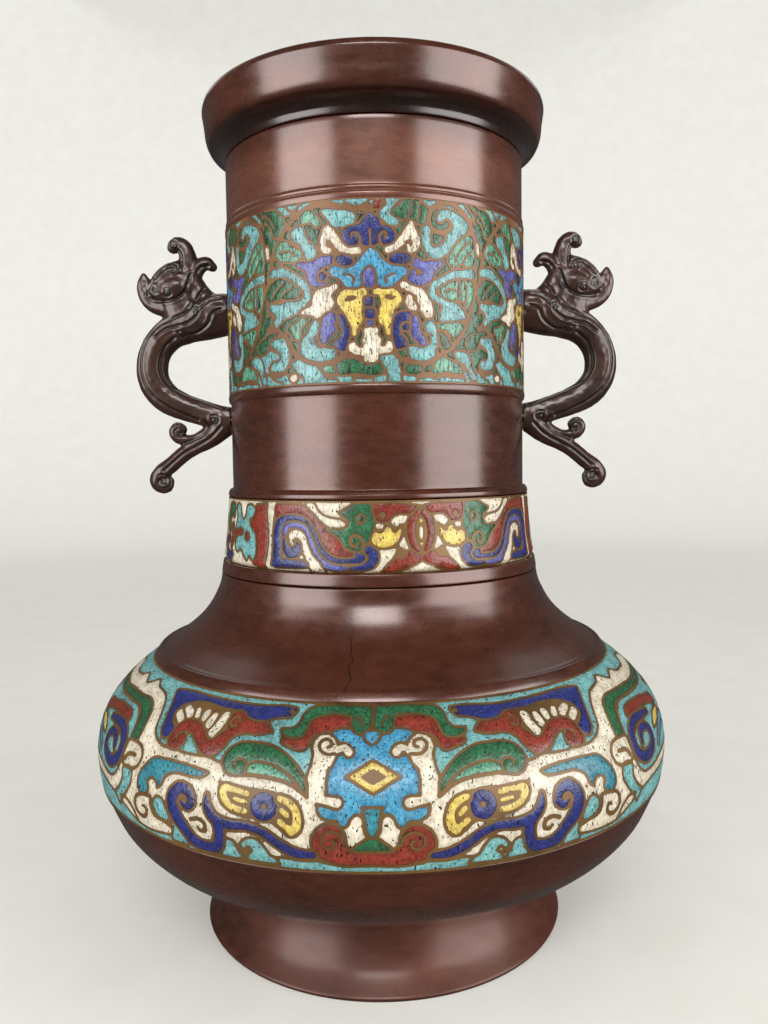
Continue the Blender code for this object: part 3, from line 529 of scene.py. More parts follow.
def contour(field):
    """Where the field crosses zero: points in grid units, and the segments that join them."""
    field = np.where(np.abs(field) < 1e-3, 1e-3, field)

    def crossing(here, there):
        return np.clip(here / (here - there), NEAREST_NODE, 1 - NEAREST_NODE)

    flat = (field[:, :-1] > 0) != (field[:, 1:] > 0)
    steep = (field[:-1] > 0) != (field[1:] > 0)
    flat_id, steep_id = np.full(flat.shape, -1), np.full(steep.shape, -1)
    flat_id[flat] = np.arange(flat.sum())
    steep_id[steep] = np.arange(steep.sum()) + flat.sum()
    i, j = np.nonzero(flat)
    points = [np.stack([j + crossing(field[i, j], field[i, j + 1]), i.astype(float)], axis=1)]
    i, j = np.nonzero(steep)
    points.append(np.stack([j.astype(float), i + crossing(field[i, j], field[i + 1, j])], axis=1))
    sides = np.stack([flat_id[:-1], steep_id[:, 1:], flat_id[1:], steep_id[:, :-1]], axis=-1)
    crossed = (sides >= 0).sum(axis=-1)
    pairs = np.sort(sides[crossed == 2], axis=-1)[:, 2:]
    saddle = crossed == 4
    corner = field[:-1, :-1][saddle] > 0
    middle = (field[:-1, :-1] + field[1:, :-1] + field[:-1, 1:] + field[1:, 1:])[saddle] > 0
    bottom, right, top, left = sides[saddle].T
    joined = corner == middle
    first = np.where(joined, right, left)
    second = np.where(joined, left, right)
    return np.concatenate(points), np.concatenate(
        [pairs, np.stack([bottom, first], axis=1), np.stack([top, second], axis=1)]
    )


def groups_of(count, pairs):
    """Numbers things that the pairs join with the same number."""
    label = np.arange(count)
    while True:
        low = np.minimum(label[pairs[:, 0]], label[pairs[:, 1]])
        new = label.copy()
        np.minimum.at(new, pairs[:, 0], low)
        np.minimum.at(new, pairs[:, 1], low)
        new = np.minimum(new, label[new])
        new = new[new]
        if (new == label).all():
            return label
        label = new


class Belt:
    """A finished drawing around the vase, cut into triangles that know their colour."""

    def __init__(self, wall, colour, x0, y0, step):
        self.wall, self.x0, self.y0, self.step = wall, x0, y0, step
        borders, barriers = contour(wall)
        shoulders, bends = contour(wall - ENAMEL_SHOULDER)
        points = np.concatenate([borders, shoulders, self.lattice(wall)])
        edges = np.concatenate([barriers, bends + len(borders)])
        found = delaunay_2d_cdt([Vector(p) for p in points.tolist()], edges.tolist(), [], 0, 1e-4, True)
        self.points = np.array([tuple(v) for v in found[0]])
        self.faces = np.array(found[2])
        corners = self.points[self.faces]
        ahead, aside = corners[:, 1] - corners[:, 0], corners[:, 2] - corners[:, 0]
        area = ahead[:, 0] * aside[:, 1] - ahead[:, 1] * aside[:, 0]
        self.faces[area < 0] = self.faces[area < 0][:, ::-1]
        area = np.abs(area) / 2 * step[0] * step[1]
        keep = area > SMALLEST_TRIANGLE
        self.faces, area = self.faces[keep], area[keep]
        self.weld(wall.shape[1] - 1)
        limit = len(barriers)
        stops = [pair for pair, source in zip(found[1], found[4]) if any(s < limit for s in source)]
        self.colours(area, np.array(stops), wall, colour)

    def lattice(self, wall):
        """Points spread over the broad parts of cells, and along the belt's edges."""
        rows, columns = wall.shape
        spread = LATTICE_SPACING / self.step[1]
        out = []
        for n, row in enumerate(np.linspace(0, rows - 1, int(rows / spread) + 2)):
            count = int(columns / spread) + 1
            across = np.linspace(0, columns - 1, count)
            if n % 2 and 0 < row < rows - 1:
                across = np.concatenate([[0], (across[1:] + across[:-1]) / 2, [columns - 1]])
            out.append(np.stack([across, np.full(len(across), row)], axis=1))
        out = np.concatenate(out)
        clear = np.abs(sampled(wall, out[:, 1], out[:, 0])) > LATTICE_CLEARANCE
        rim = (out[:, 1] == 0) | (out[:, 1] == rows - 1)
        return out[rim | clear]

    def weld(self, last):
        """Joins the belt's two ends."""
        start = {round(y, 2): i for i, (x, y) in enumerate(self.points) if x < 1e-6}
        same = np.arange(len(self.points))
        for i, (x, y) in enumerate(self.points):
            if x > last - 1e-6:
                same[i] = start.get(round(y, 2), i)
        self.faces = same[self.faces]
        self.same = same

    def colours(self, area, stops, wall, colour):
        """Gives each triangle the colour of its cell."""
        base = len(self.points)
        sides = np.concatenate([self.faces[:, [0, 1]], self.faces[:, [1, 2]], self.faces[:, [2, 0]]])
        owner = np.tile(np.arange(len(self.faces)), 3)
        key = np.sort(sides, axis=1) @ np.array([base, 1])
        order = np.argsort(key, kind="stable")
        key, owner = key[order], owner[order]
        twin = key[1:] == key[:-1]
        stop_key = np.sort(self.same[stops], axis=1) @ np.array([base, 1])
        free = twin & ~np.isin(key[1:], stop_key)
        label = groups_of(len(self.faces), np.stack([owner[:-1][free], owner[1:][free]], axis=1))
        middle = self.points[self.faces].mean(axis=1)
        height = sampled(wall, middle[:, 1], middle[:, 0])
        rows, columns = np.rint(middle[:, 1]).astype(int), np.rint(middle[:, 0]).astype(int)
        rows, columns = np.minimum(rows, wall.shape[0] - 1), np.minimum(columns, wall.shape[1] - 1)
        seen = colour[rows, columns]
        count = len(self.faces)
        size = np.bincount(label, area, count)
        depth = np.bincount(label, area * height, count)
        votes = np.stack([np.bincount(label, area * (seen == c), count) for c in range(colour.max() + 1)])
        choice = np.where((depth > 0) & (size > SMALLEST_CELL), votes[1:].argmax(axis=0) + 1, 0)
        self.colour = choice[label]


# Wrapping the bands round the vase

LIFT = {"bronze": 0.02, "enamel_edge": -0.12, "enamel": -0.05}
CELL_DEPTH = 0.5
EDGE_WEAR = 0.3
CREASE = math.radians(60)


class Wall:
    """The outer side of a band: a place on the vase for each (x along, y up, lift) in millimetres.

    Y starts at y_start just above the band's lower edge, and x runs round at the radius.
    """

    def __init__(self, name, y_start, radius):
        low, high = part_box(name)
        heights = np.linspace(low[2] / MM + 0.02, high[2] / MM - 0.02, 15)
        spots = np.array([(self.reach(name, z), z, 0.0) for z in heights])
        ends = [spots[0] * 2 - spots[1], *spots, spots[-1] * 2 - spots[-2]]
        curve = curve_through(np.array(ends), [False] * len(ends), False, 0.3)[:, :2]
        run = np.concatenate([[0], np.cumsum(np.hypot(*np.diff(curve, axis=0).T))])
        self.curve = curve
        self.run = run - np.interp(heights[0], curve[:, 1], run) + y_start
        slope = np.gradient(curve, axis=0)
        slope /= np.hypot(*slope.T)[:, None]
        self.outward = np.stack([slope[:, 1], -slope[:, 0]], axis=1)
        self.radius = radius

    @staticmethod
    def reach(name, height):
        """How far from the axis the CAD node's outer side is at a height."""
        hit, spot, _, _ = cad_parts[name].ray_cast(Vector((0, 1, height * MM)), Vector((0, -1, 0)))
        return spot.y / MM if hit else 0.0

    def place(self, x, y, lift):
        """World positions in metres; x = 0 faces the viewer and grows to the viewer's right."""
        r = np.interp(y, self.run, self.curve[:, 0]) + lift * np.interp(y, self.run, self.outward[:, 0])
        z = np.interp(y, self.run, self.curve[:, 1]) + lift * np.interp(y, self.run, self.outward[:, 1])
        turn = x / self.radius
        return np.stack([r * np.sin(turn), -r * np.cos(turn), z], axis=1) * MM


def wrap(prefix, wall, belt, looks):
    """Makes one object for the bronze walls and one for each enamel colour of a belt."""
    x = belt.points[:, 0] * belt.step[0] + belt.x0
    y = belt.points[:, 1] * belt.step[1] + belt.y0
    depth = sampled(belt.wall, belt.points[:, 1], belt.points[:, 0])
    bronze = np.full(len(depth), LIFT["bronze"])
    enamel = np.interp(depth, [0, ENAMEL_SHOULDER], [LIFT["enamel_edge"], LIFT["enamel"]])
    pieces = []
    for index, (name, look) in enumerate(looks.items()):
        faces = belt.faces[belt.colour == index]
        if not len(faces):
            continue
        used, local = np.unique(faces, return_inverse=True)
        faces = local.reshape(-1, 3)
        lift = (bronze if index == 0 else enamel)[used]
        top = wall.place(x[used], y[used], lift)
        sides = np.concatenate([faces[:, [0, 1]], faces[:, [1, 2]], faces[:, [2, 0]]])
        count = len(used)
        forward, backward = sides @ [count, 1], sides[:, ::-1] @ [count, 1]
        rim = sides[~np.isin(forward, backward)]
        rim_points, rim_local = np.unique(rim, return_inverse=True)
        rim_local = rim_local.reshape(-1, 2) + count
        foot = wall.place(x[used][rim_points], y[used][rim_points], -CELL_DEPTH)
        a, b = rim.T
        a_low, b_low = rim_local.T
        walls = np.concatenate([np.stack([b, a, a_low], axis=1), np.stack([b, a_low, b_low], axis=1)])
        piece = solid(f"{prefix}_{name}", np.concatenate([top, foot]), np.concatenate([faces, walls]))
        piece.data.set_sharp_from_angle(angle=CREASE)
        edge = piece.data.attributes.new("edge", "FLOAT", "POINT")
        near = np.clip(1 - depth[used] / EDGE_WEAR, 0, 1)
        edge.data.foreach_set("value", np.concatenate([near, np.ones(len(foot))]).astype(np.float32))
        piece.data.materials.append(look)
        pieces.append(piece)
    return pieces


# The turned bronze pieces, from the CAD nodes' outlines

TURN_STEPS = 288
CORNER_TURN = math.radians(22)
CORNER_RADIUS = 0.35
CORNER_SHARE = 0.35
OUTLINE_SPACING = 1.3
SHARP_EDGE = math.radians(50)


def cad_outline(name):
    """The closed outline that a turned CAD node was made from, in millimetres, its outer side running down."""
    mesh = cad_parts[name].data
    spots = {}
    for vertex in mesh.vertices:
        if abs(vertex.co.x) < 1e-5 and vertex.co.y > 0:
            spots[vertex.index] = (round(vertex.co.y / MM, 3), round(vertex.co.z / MM, 3))
    beside = {spot: set() for spot in spots.values()}
    for edge in mesh.edges:
        a, b = (spots.get(i) for i in edge.vertices)
        if a and b and a != b:
            beside[a].add(b)
            beside[b].add(a)
    loose = [spot for spot, near in beside.items() if len(near) == 1]
    for a in loose:
        for b in loose:
            if a != b and abs(a[1] - b[1]) < 0.01:
                beside[a].add(b)
                beside[b].add(a)
    last = max(beside)
    order, here = [last], min(beside[last], key=lambda spot: spot[1])
    while here != order[0]:
        order.append(here)
        last, here = here, next(spot for spot in beside[here] if spot != last)
    return np.array(order)


def softened(outline):
    """The outline with its gentle bends drawn as smooth curves and its sharp corners rounded."""
    before, after = outline - np.roll(outline, 1, axis=0), np.roll(outline, -1, axis=0) - outline
    turn = np.abs((np.arctan2(*after.T) - np.arctan2(*before.T) + math.pi) % FULL_TURN - math.pi)
    rounded, corners = [], []
    for i, spot in enumerate(outline):
        if turn[i] < CORNER_TURN:
            rounded.append(spot)
            corners.append(False)
            continue
        back, ahead = -before[i], after[i]
        near = min(CORNER_RADIUS, CORNER_SHARE * np.hypot(*back), CORNER_SHARE * np.hypot(*ahead))
        back, ahead = back / np.hypot(*back) * near, ahead / np.hypot(*ahead) * near
        rounded += [spot + back, spot + (back + ahead) * 0.3, spot + ahead]
        corners += [True, False, True]
    rounded = np.column_stack([rounded, np.zeros(len(rounded))])
    return curve_through(rounded, corners, True, OUTLINE_SPACING)[:, :2]


def turned(name, outline):
    """A closed piece turned about Z from an outline whose outer side runs down."""
    steps, count = TURN_STEPS, len(outline)
    angle = np.arange(steps) / steps * FULL_TURN
    points = np.empty((steps, count, 3))
    points[..., 0] = outline[:, 0] * np.cos(angle)[:, None]
    points[..., 1] = outline[:, 0] * np.sin(angle)[:, None]
    points[..., 2] = outline[:, 1]
    ring, along = np.meshgrid(np.arange(steps), np.arange(count), indexing="ij")
    next_ring, next_along = (ring + 1) % steps, (along + 1) % count
    corners = [(ring, along), (ring, next_along), (next_ring, next_along), (next_ring, along)]
    faces = np.stack([i * count + j for i, j in corners], axis=-1)
    piece = solid(name, points.reshape(-1, 3) * MM, faces.reshape(-1, 4))
    piece.data.set_sharp_from_angle(angle=SHARP_EDGE)
    return piece


def solid(name, points, faces):
    """A smooth mesh object from arrays of points and of faces that all have the same number of sides."""
    mesh = bpy.data.meshes.new(name)
    sides = faces.shape[1]
    mesh.vertices.add(len(points))
    mesh.vertices.foreach_set("co", np.ascontiguousarray(points, dtype=np.float32).ravel())
    mesh.loops.add(faces.size)
    mesh.loops.foreach_set("vertex_index", np.ascontiguousarray(faces, dtype=np.int32).ravel())
    mesh.polygons.add(len(faces))
    mesh.polygons.foreach_set("loop_start", np.arange(0, faces.size, sides, dtype=np.int32))
    mesh.polygons.foreach_set("use_smooth", np.full(len(faces), True))
    mesh.update(calc_edges=True)
    mesh.validate()
    piece = bpy.data.objects.new(name, mesh)
    bpy.context.scene.collection.objects.link(piece)
    return piece


# The dragon handles, sculpted in the XZ plane on the +X side, in millimetres

# Each limb: its thickness as a share of its width, and its centre line as distance from axis, height, radius
DRAGON_LIMBS = {
    "body": (0.84, "54,232,7.6 61,231.4,8.4 67,230,8.2 73.5,227.6,7 80,224.4,6.3 84.9,218.8,6.1 86.9,212,6.1"
                   " 85.8,205.2,6 81.6,200,5.8 75.4,196.7,5.3 68.5,194.3,5 62,192.2,5 54,190.8,5"),
    "tail": (0.9, "57,191,4.6 62,186.9,4.3 66.5,183.6,3.8 71.5,181,3.3 76,178,3.1 80.5,174.2,3.1 84.6,171,3.2"
                  " 86.4,168.2,3 85.4,165.9,2.7 82.6,165.9,2.7 81.8,167.6,2.2"),
    "branch": (0.9, "63.5,189,2.6 67.5,185.8,2.3 71,184,2.1 74.5,183.7,2.1 77.8,184.8,2.4 79,187,2.3"
                    " 77.6,188.8,2.1 75.8,187.9,1.9"),
    "throat": (0.66, "72,228,6.4 74.5,233,7.6 77,239,7"),
    "nape": (0.8, "62.5,233,6.4 67,238.4,4.6 70.6,244,4.2"),
    "cheek": (0.95, "72.6,245.6,4.6 75.4,242.4,6.2 79.4,241,6 83,240.6,4.6"),
    "brow": (0.95, "75.4,249,3.9 79,246.4,5 82.6,242.8,4.6 84.4,240.6,3.6"),
    "snout": (1.05, "80.6,243.6,4.4 78.6,240.6,4.2 76,239.8,3.4"),
    "horn": (0.9, "74,246,4.6 72.2,250,3.6 72.1,254.4,3.3 73.6,257.7,3 76.1,258.9,2.7 77.4,257.5,2.5"),
    "crest": (0.85, "71,245,3.8 68,249.8,3.1 65,251.4,2.6 62.4,249.8,1.9"),
    "ear": (0.8, "81,234.4,3.6 86.4,235.8,2.6 89.2,239.4,2.3 89.9,243.6,2 89.2,247,1.2"),
    "ear_root": (0.8, "85.4,241,2 87.6,244,1.8 89,246.6,1.2"),
}
# Carved lines, as distance from the axis, height
DRAGON_GROOVES = [
    "59,237.4 62.6,236.8 65.6,234.2 67.4,231 70.6,228.3 75.6,226.8 80.6,225.6 84,223",
    "58.6,232.6 61.6,231.4 63,228.2 65.8,225.4 69.4,224 71.8,224",
    "65.6,241 68.6,236.8 71.6,232.4 77.6,229.8 83.6,227.4 87.8,222 90,215.4 89.9,208.6 86.8,201.8 81,196.8"
    " 74,193.4 68.6,191.2",
    "76.4,222.8 80.4,219.4 82.6,214.6 82.8,209.6 80.6,205.6 76,202.6 70,200.2 63.6,197.6 58.6,195.4",
    "60.4,188.4 64,184.6 69,181.6 74.6,178.8 79.4,175 83.2,171.6",
    "66.6,191 64.9,188.8 66.4,186.4 70.6,184 74.4,182.6",
    "70.4,246.6 71.2,243 73,239.4 76.4,237.2 81,236.6 85,237.6 87,240.4",
    "68.2,247.4 66.4,249.4 63.8,250",
    "74.3,247.4 73.8,251 74.2,254.4 75.6,256.3",
    "84.7,245 86.4,242 87.8,239.4",
    "79.4,249.3 81.4,247.1 83.6,245.2",
]
# Carved spirals: distance from the axis, height, radius, turns
DRAGON_CURLS = [
    (77, 248.4, 2.3, 1.6), (83.5, 241, 1.9, 1.5), (79, 239.3, 1.8, 1.4), (74, 224.3, 2, 1.5),
    (62.6, 191, 2.1, 1.5), (83.4, 167.4, 3.2, 1.7), (76.9, 186.9, 2.7, 1.7), (76.8, 257.9, 1.9, 1.4),
    (67.9, 232.6, 1.6, 1.2),
]
VOXEL = 0.42
SMOOTHINGS = 9
LIMB_SIDES = 20
ROUND_END = ((0.98, 0.2), (0.7, 0.71))
CURL_POINTS = 26
CURL_TIGHTENING = 0.78
GROOVE_DEPTH = 0.55
GROOVE_WIDTH = 0.42
CURL_WIDTH = 0.85 * GROOVE_WIDTH
BANK_RISE = 0.35
BANK_PLACE = 1.1
BANK_WIDTH = 0.6
BOSS_RISE = 0.75
BOSS_MARGIN = 0.4
RELIEF = 0.5
HAMMERING = 0.07
NECK_CLEARANCE = 56.9


def tube(text, thickness):
    """Points and faces of a round-ended limb along a line of x, z, radius, flattened in y."""
    points, corners = points_of(text.split())
    line = curve_through(points, corners, False, 1.0)
    ahead = np.gradient(line[:, :2], axis=0)
    ahead /= np.hypot(*ahead.T)[:, None]

    def end(i, reach, share):
        return line[i, :2] + ahead[i] * line[i, 2] * reach, ahead[i], line[i, 2] * share

    rings = [end(0, -reach, share) for reach, share in ROUND_END]
    rings += [(spot[:2], way, spot[2]) for spot, way in zip(line, ahead)]
    rings += [end(-1, reach, share) for reach, share in ROUND_END[::-1]]
    sides = LIMB_SIDES
    angle = np.arange(sides) / sides * FULL_TURN
    spots = []
    for (x, z), (ax, az), radius in rings:
        aside = radius * np.cos(angle)
        spots += list(zip(x - az * aside, radius * thickness * np.sin(angle), z + ax * aside))
    faces = []
    for i in range(len(rings) - 1):
        for j in range(sides):
            k = (j + 1) % sides
            faces.append([i * sides + j, i * sides + k, (i + 1) * sides + k, (i + 1) * sides + j])
    last = (len(rings) - 1) * sides
    faces.append(list(range(sides))[::-1])
    faces.append(list(range(last, last + sides)))
    return spots, faces


def curl(x, z, radius, turns):
    """A spiral groove's points."""
    turn = np.linspace(0, turns * FULL_TURN, CURL_POINTS)
    reach = radius * (1 - CURL_TIGHTENING * turn / turn[-1])
    return np.stack([x + reach * np.cos(turn + 1), z + reach * np.sin(turn + 1)], axis=1)


def nearness(spots, line):
    """How far each (x, z) spot is from a line."""
    best = np.full(len(spots), BEYOND)
    for a, b in zip(line[:-1], line[1:]):
        along = b - a
        t = np.clip((spots - a) @ along / (along @ along + TINY), 0, 1)
        best = np.minimum(best, np.hypot(*(spots - a - t[:, None] * along).T))
    return best


def bell(away, width):
    """1 at the middle, falling smoothly to nothing a few widths away."""
    return np.exp(-((away / width) ** 2))


def melted_limbs():
    """The limbs run together into one smooth skin."""
    spots, faces = [], []
    for thickness, text in DRAGON_LIMBS.values():
        more, sides = tube(text, thickness)
        faces += [[i + len(spots) for i in face] for face in sides]
        spots += more
    mesh = bpy.data.meshes.new("dragon")
    mesh.from_pydata((np.array(spots) * MM).tolist(), [], faces)
    carrier = bpy.data.objects.new("dragon", mesh)
    bpy.context.scene.collection.objects.link(carrier)
    melt = carrier.modifiers.new("melt", "REMESH")
    melt.mode = "VOXEL"
    melt.voxel_size = VOXEL * MM
    ease = carrier.modifiers.new("ease", "SMOOTH")
    ease.factor = 0.5
    ease.iterations = SMOOTHINGS
    made = bpy.data.meshes.new_from_object(carrier.evaluated_get(bpy.context.evaluated_depsgraph_get()))
    bpy.data.objects.remove(carrier)
    return made


def carving(flat):
    """How deep the grooves, and how high the banks and bosses beside them, are at each (x, z) spot."""
    recess, rise = np.zeros(len(flat)), np.zeros(len(flat))
    for text in DRAGON_GROOVES:
        points, corners = points_of(text.split())
        near = nearness(flat, curve_through(points, corners, False, 0.5)[:, :2])
        recess = np.maximum(recess, bell(near, GROOVE_WIDTH))
        rise += BANK_RISE * bell(near - BANK_PLACE, BANK_WIDTH)
    for x, z, radius, turns in DRAGON_CURLS:
        near = nearness(flat, curl(x, z, radius, turns))
        from_middle = np.hypot(flat[:, 0] - x, flat[:, 1] - z)
        recess = np.maximum(recess, bell(near, CURL_WIDTH))
        rise += BOSS_RISE * np.clip(1.25 - from_middle / (radius + BOSS_MARGIN), 0, 1) ** 0.5
    return recess, np.minimum(rise, 1.0)


def dragon_mesh():
    """One dragon: limbs melted together, carved on both faces, and kept clear of the neck."""
    made = melted_limbs()
    count = len(made.vertices)
    place, normal = np.empty(count * 3, np.float32), np.empty(count * 3, np.float32)
    made.vertices.foreach_get("co", place)
    made.vertices.foreach_get("normal", normal)
    place, normal = place.reshape(-1, 3) / MM, normal.reshape(-1, 3)
    flat = place[:, [0, 2]]
    facing = np.clip(np.abs(normal[:, 1]) * 2.2 - 0.5, 0, 1)
    recess, rise = carving(flat)
    grain = ripple(51, 60, 120, flat[:, 0] + place[:, 1] * 0.7, flat[:, 1], 1.7) * HAMMERING
    place = place + normal * (facing * (rise * RELIEF - recess * GROOVE_DEPTH) + grain)[:, None]
    push = np.maximum(NECK_CLEARANCE / np.hypot(place[:, 0], place[:, 1]), 1)
    place[:, :2] *= push[:, None]
    made.vertices.foreach_set("co", (place * MM).astype(np.float32).ravel())
    mark = made.attributes.new("recess", "FLOAT", "POINT")
    mark.data.foreach_set("value", np.clip(recess * facing, 0, 1).astype(np.float32))
    made.polygons.foreach_set("use_smooth", np.full(len(made.polygons), True))
    made.update()
    return made


def handles(finish):
    """Both dragons, the second turned half way round the vase."""
    right = dragon_mesh()
    right.materials.append(finish)
    left = right.copy()
    left.transform(Matrix.Rotation(math.pi, 4, "Z"))
    for side, mesh in (("right", right), ("left", left)):
        piece = bpy.data.objects.new(f"dragon_{side}", mesh)
        bpy.context.scene.collection.objects.link(piece)
        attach(piece, "root")
        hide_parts(f"handle_{side}")


# Materials. Colours are given as a screen shows them, 0 to 255.

METALLIC = 0.35
COAT_ROUGHNESS = 0.2
COAT_IOR = 1.55
PIT_BROWN = (22, 14, 12)
CRACK_BLACK = (8, 4, 3)
STAIN_BROWN = (62, 52, 44)
HATCH_BROWN = (38, 34, 28)
EDGE_BROWN = (44, 34, 26)
PIT_BLACK = (14, 11, 10)


def tone(red, green, blue):
    """A colour as a screen shows it, in the shader's own scale."""
    shares = (red / 255, green / 255, blue / 255)
    return tuple(c / 12.92 if c < 0.04045 else ((c + 0.055) / 1.055) ** 2.4 for c in shares) + (1,)


def node(tree, kind, inputs=(), output=0, **settings):
    """Adds a shader node, sets or links its inputs, and gives one of its outputs."""
    made = tree.nodes.new("ShaderNode" + kind)
    for key, value in settings.items():
        setattr(made, key, value)
    for key, value in dict(inputs).items():
        if isinstance(value, bpy.types.NodeSocket):
            tree.links.new(value, made.inputs[key])
        else:
            made.inputs[key].default_value = value
    return made.outputs[output]


def worked(tree, operation, *values):
    """What a Math node makes of numbers or sockets."""
    return node(tree, "Math", enumerate(values), operation=operation)


def times(tree, first, second):
    """The product of two numbers or sockets."""
    return worked(tree, "MULTIPLY", first, second)


def ramp(tree, value, start, end, low=0.0, high=1.0):
    """Goes from low to high as the value goes from start to end, and no further."""
    return node(tree, "MapRange", {0: value, 1: start, 2: end, 3: low, 4: high})


def blended(tree, share, first, second):
    """A colour part of the way from the first to the second."""
    return node(tree, "Mix", {0: share, 6: first, 7: second}, output=2, data_type="RGBA")


def stretched(tree, where, upward):
    """Places scaled in height, so that what is drawn from them is finer or longer upward."""
    return node(tree, "Mapping", {0: where, 3: (1, 1, upward)})


def patches(tree, where, size, low, high, detail=3.0):
    """Noise of about that size in millimetres, from 0 below low to 1 above high."""
    settings = {"Vector": where, "Scale": 1 / (size * MM), "Detail": detail, "Roughness": 0.55}
    return ramp(tree, node(tree, "TexNoise", settings), low, high)


def dented(tree, shader, relief, strength, depth):
    """Raises the surface by relief, up to a depth in millimetres."""
    bump = node(tree, "Bump", {"Strength": strength, "Distance": depth * MM, "Height": relief})
    tree.links.new(bump, shader.inputs["Normal"])


def started(name):
    """A new material: its tree, its main shader, and each spot's place in metres."""
    material = bpy.data.materials.new(name)
    material.use_nodes = True
    tree = material.node_tree
    return material, tree, tree.nodes["Principled BSDF"], node(tree, "TexCoord", output=3)


def enamel(name, deep, middle, pale, hatched=0.22):
    """Old glass paste: cloudy, worn, stained, with dark pits and upright scratches, and a soft shine."""
    material, tree, shader, where = started(name)
    cloud = patches(tree, where, 5, 0.35, 0.68, 4)
    grain = patches(tree, where, 0.9, 0.3, 0.72, 2)
    pits = patches(tree, stretched(tree, where, 0.45), 0.65, 0.64, 0.69, 1)
    hatch = patches(tree, stretched(tree, where, 0.16), 0.55, 0.5, 0.66, 1)
    stains = patches(tree, where, 3.2, 0.60, 0.75, 4)
    height = node(tree, "SeparateXYZ", {0: where}, output=2)
    strong = ramp(tree, height, 0.17, 0.2, hatched, min(1.0, hatched * 2.4))
    edge = node(tree, "Attribute", output=2, attribute_name="edge")
    worn = ramp(tree, patches(tree, where, 1.5, 0.3, 0.7), 0.0, 1.0, 0.35, 1.0)
    colour = blended(tree, cloud, tone(*deep), tone(*middle))
    colour = blended(tree, times(tree, grain, 0.55), colour, tone(*pale))
    colour = blended(tree, times(tree, stains, 0.5), colour, tone(*STAIN_BROWN))
    colour = blended(tree, times(tree, hatch, strong), colour, tone(*HATCH_BROWN))
    colour = blended(tree, times(tree, edge, worn), colour, tone(*EDGE_BROWN))
    colour = blended(tree, pits, colour, tone(*PIT_BLACK))
    tree.links.new(colour, shader.inputs["Base Color"])
    tree.links.new(ramp(tree, stains, 0.0, 1.0, 0.26, 0.62), shader.inputs["Roughness"])
    dented(tree, shader, worked(tree, "SUBTRACT", grain, pits), 0.5, 0.12)
    return material


def bronze(name, deep, middle, pale, rough, streaks=True, recess=None, marks_and_shade=False, coat=0.7):
    """Brown lacquered bronze: clouded patina, fine lines round the turning, and pits.

    Streaks draws the clouds out round the vase, recess is the colour of carved grooves, and the flag after
    recess adds what the vase's own body shows: a paler band on the upper neck, painted shade darkening the
    hollow under the rim, and a crack from the casting.
    """
    material, tree, shader, where = started(name)
    lie = stretched(tree, where, 2.5 if streaks else 1)
    cloud = patches(tree, lie, 45, 0.3, 0.7)
    fine = patches(tree, lie, 7, 0.3, 0.75, 4)
    pits = patches(tree, where, 1.9, 0.70, 0.76, 1)
    colour = blended(tree, cloud, tone(*deep), tone(*middle))
    colour = blended(tree, times(tree, fine, 0.3), colour, tone(*pale))
    colour = blended(tree, times(tree, pits, 0.5), colour, tone(*PIT_BROWN))
    if marks_and_shade:
        colour = marks_and_painted_shade(tree, where, colour)
    if recess:
        carved = node(tree, "Attribute", output=2, attribute_name="recess")
        colour = blended(tree, times(tree, carved, 0.9), colour, tone(*recess))
    tree.links.new(colour, shader.inputs["Base Color"])
    shader.inputs["Metallic"].default_value = METALLIC
    shader.inputs["Coat Weight"].default_value = coat
    shader.inputs["Coat Roughness"].default_value = COAT_ROUGHNESS
    shader.inputs["Coat IOR"].default_value = COAT_IOR
    tree.links.new(ramp(tree, fine, 0.0, 1.0, rough - 0.05, rough + 0.1), shader.inputs["Roughness"])
    hair = patches(tree, stretched(tree, where, 60), 14, 0.2, 0.8)
    dented(tree, shader, worked(tree, "SUBTRACT", hair, pits), 0.25, 0.06)
    return material


def marks_and_painted_shade(tree, where, colour):
    """A paler band on the upper neck, painted shade in the hollow under the rim, and a crack in the shoulder."""
    height = node(tree, "SeparateXYZ", {0: where}, output=2)
    # The first mask is a paler band on the upper neck. The second is painted shade: the hollow under the rim is
    # darkened almost to black.
    paler_upper_neck = times(tree, ramp(tree, height, 0.250, 0.260), ramp(tree, height, 0.282, 0.274))
    painted_shade_under_rim = times(tree, ramp(tree, height, 0.2842, 0.2856), ramp(tree, height, 0.2922, 0.2895))
    colour = blended(tree, times(tree, paler_upper_neck, 0.22), colour, tone(150, 96, 74))
    # Painted shade under the rim.
    colour = blended(tree, times(tree, painted_shade_under_rim, 0.85), colour, tone(18, 8, 6))
    return blended(tree, casting_crack(tree, where), colour, tone(*CRACK_BLACK))


def casting_crack(tree, where):
    """A thin dark crack that wanders down the front of the shoulder: 1 in the crack, 0 elsewhere."""
    x, y, z = (node(tree, "SeparateXYZ", {0: where}, output=i) for i in range(3))
    sway = node(tree, "TexNoise", {"W": z, "Scale": 160.0, "Detail": 3.0}, noise_dimensions="1D")
    kink = ramp(tree, z, 0.1055, 0.109, -3.4 * MM, 0.0)
    line = worked(tree, "MULTIPLY_ADD", sway, 5 * MM, -11.2 * MM)
    aside = worked(tree, "ABSOLUTE", worked(tree, "SUBTRACT", x, worked(tree, "ADD", line, kink)))
    thin = ramp(tree, aside, 0.1 * MM, 0.22 * MM, 1.0, 0.0)
    below = ramp(tree, z, 0.126, 0.130, 1.0, 0.0)
    above = worked(tree, "GREATER_THAN", z, 0.1045)
    front = worked(tree, "LESS_THAN", y, 0.0)
    return times(tree, times(tree, times(tree, thin, below), above), front)


# Camera and studio

EYE = (0.00215, -0.329, 0.176)
TIPPED_DOWN = 3.74
ROLLED = -0.8
SENSOR = 36
FRAME_HEIGHT = 1024
LENS_REACH = 840
VASE_MIDDLE = Vector((0, 0, 0.15))
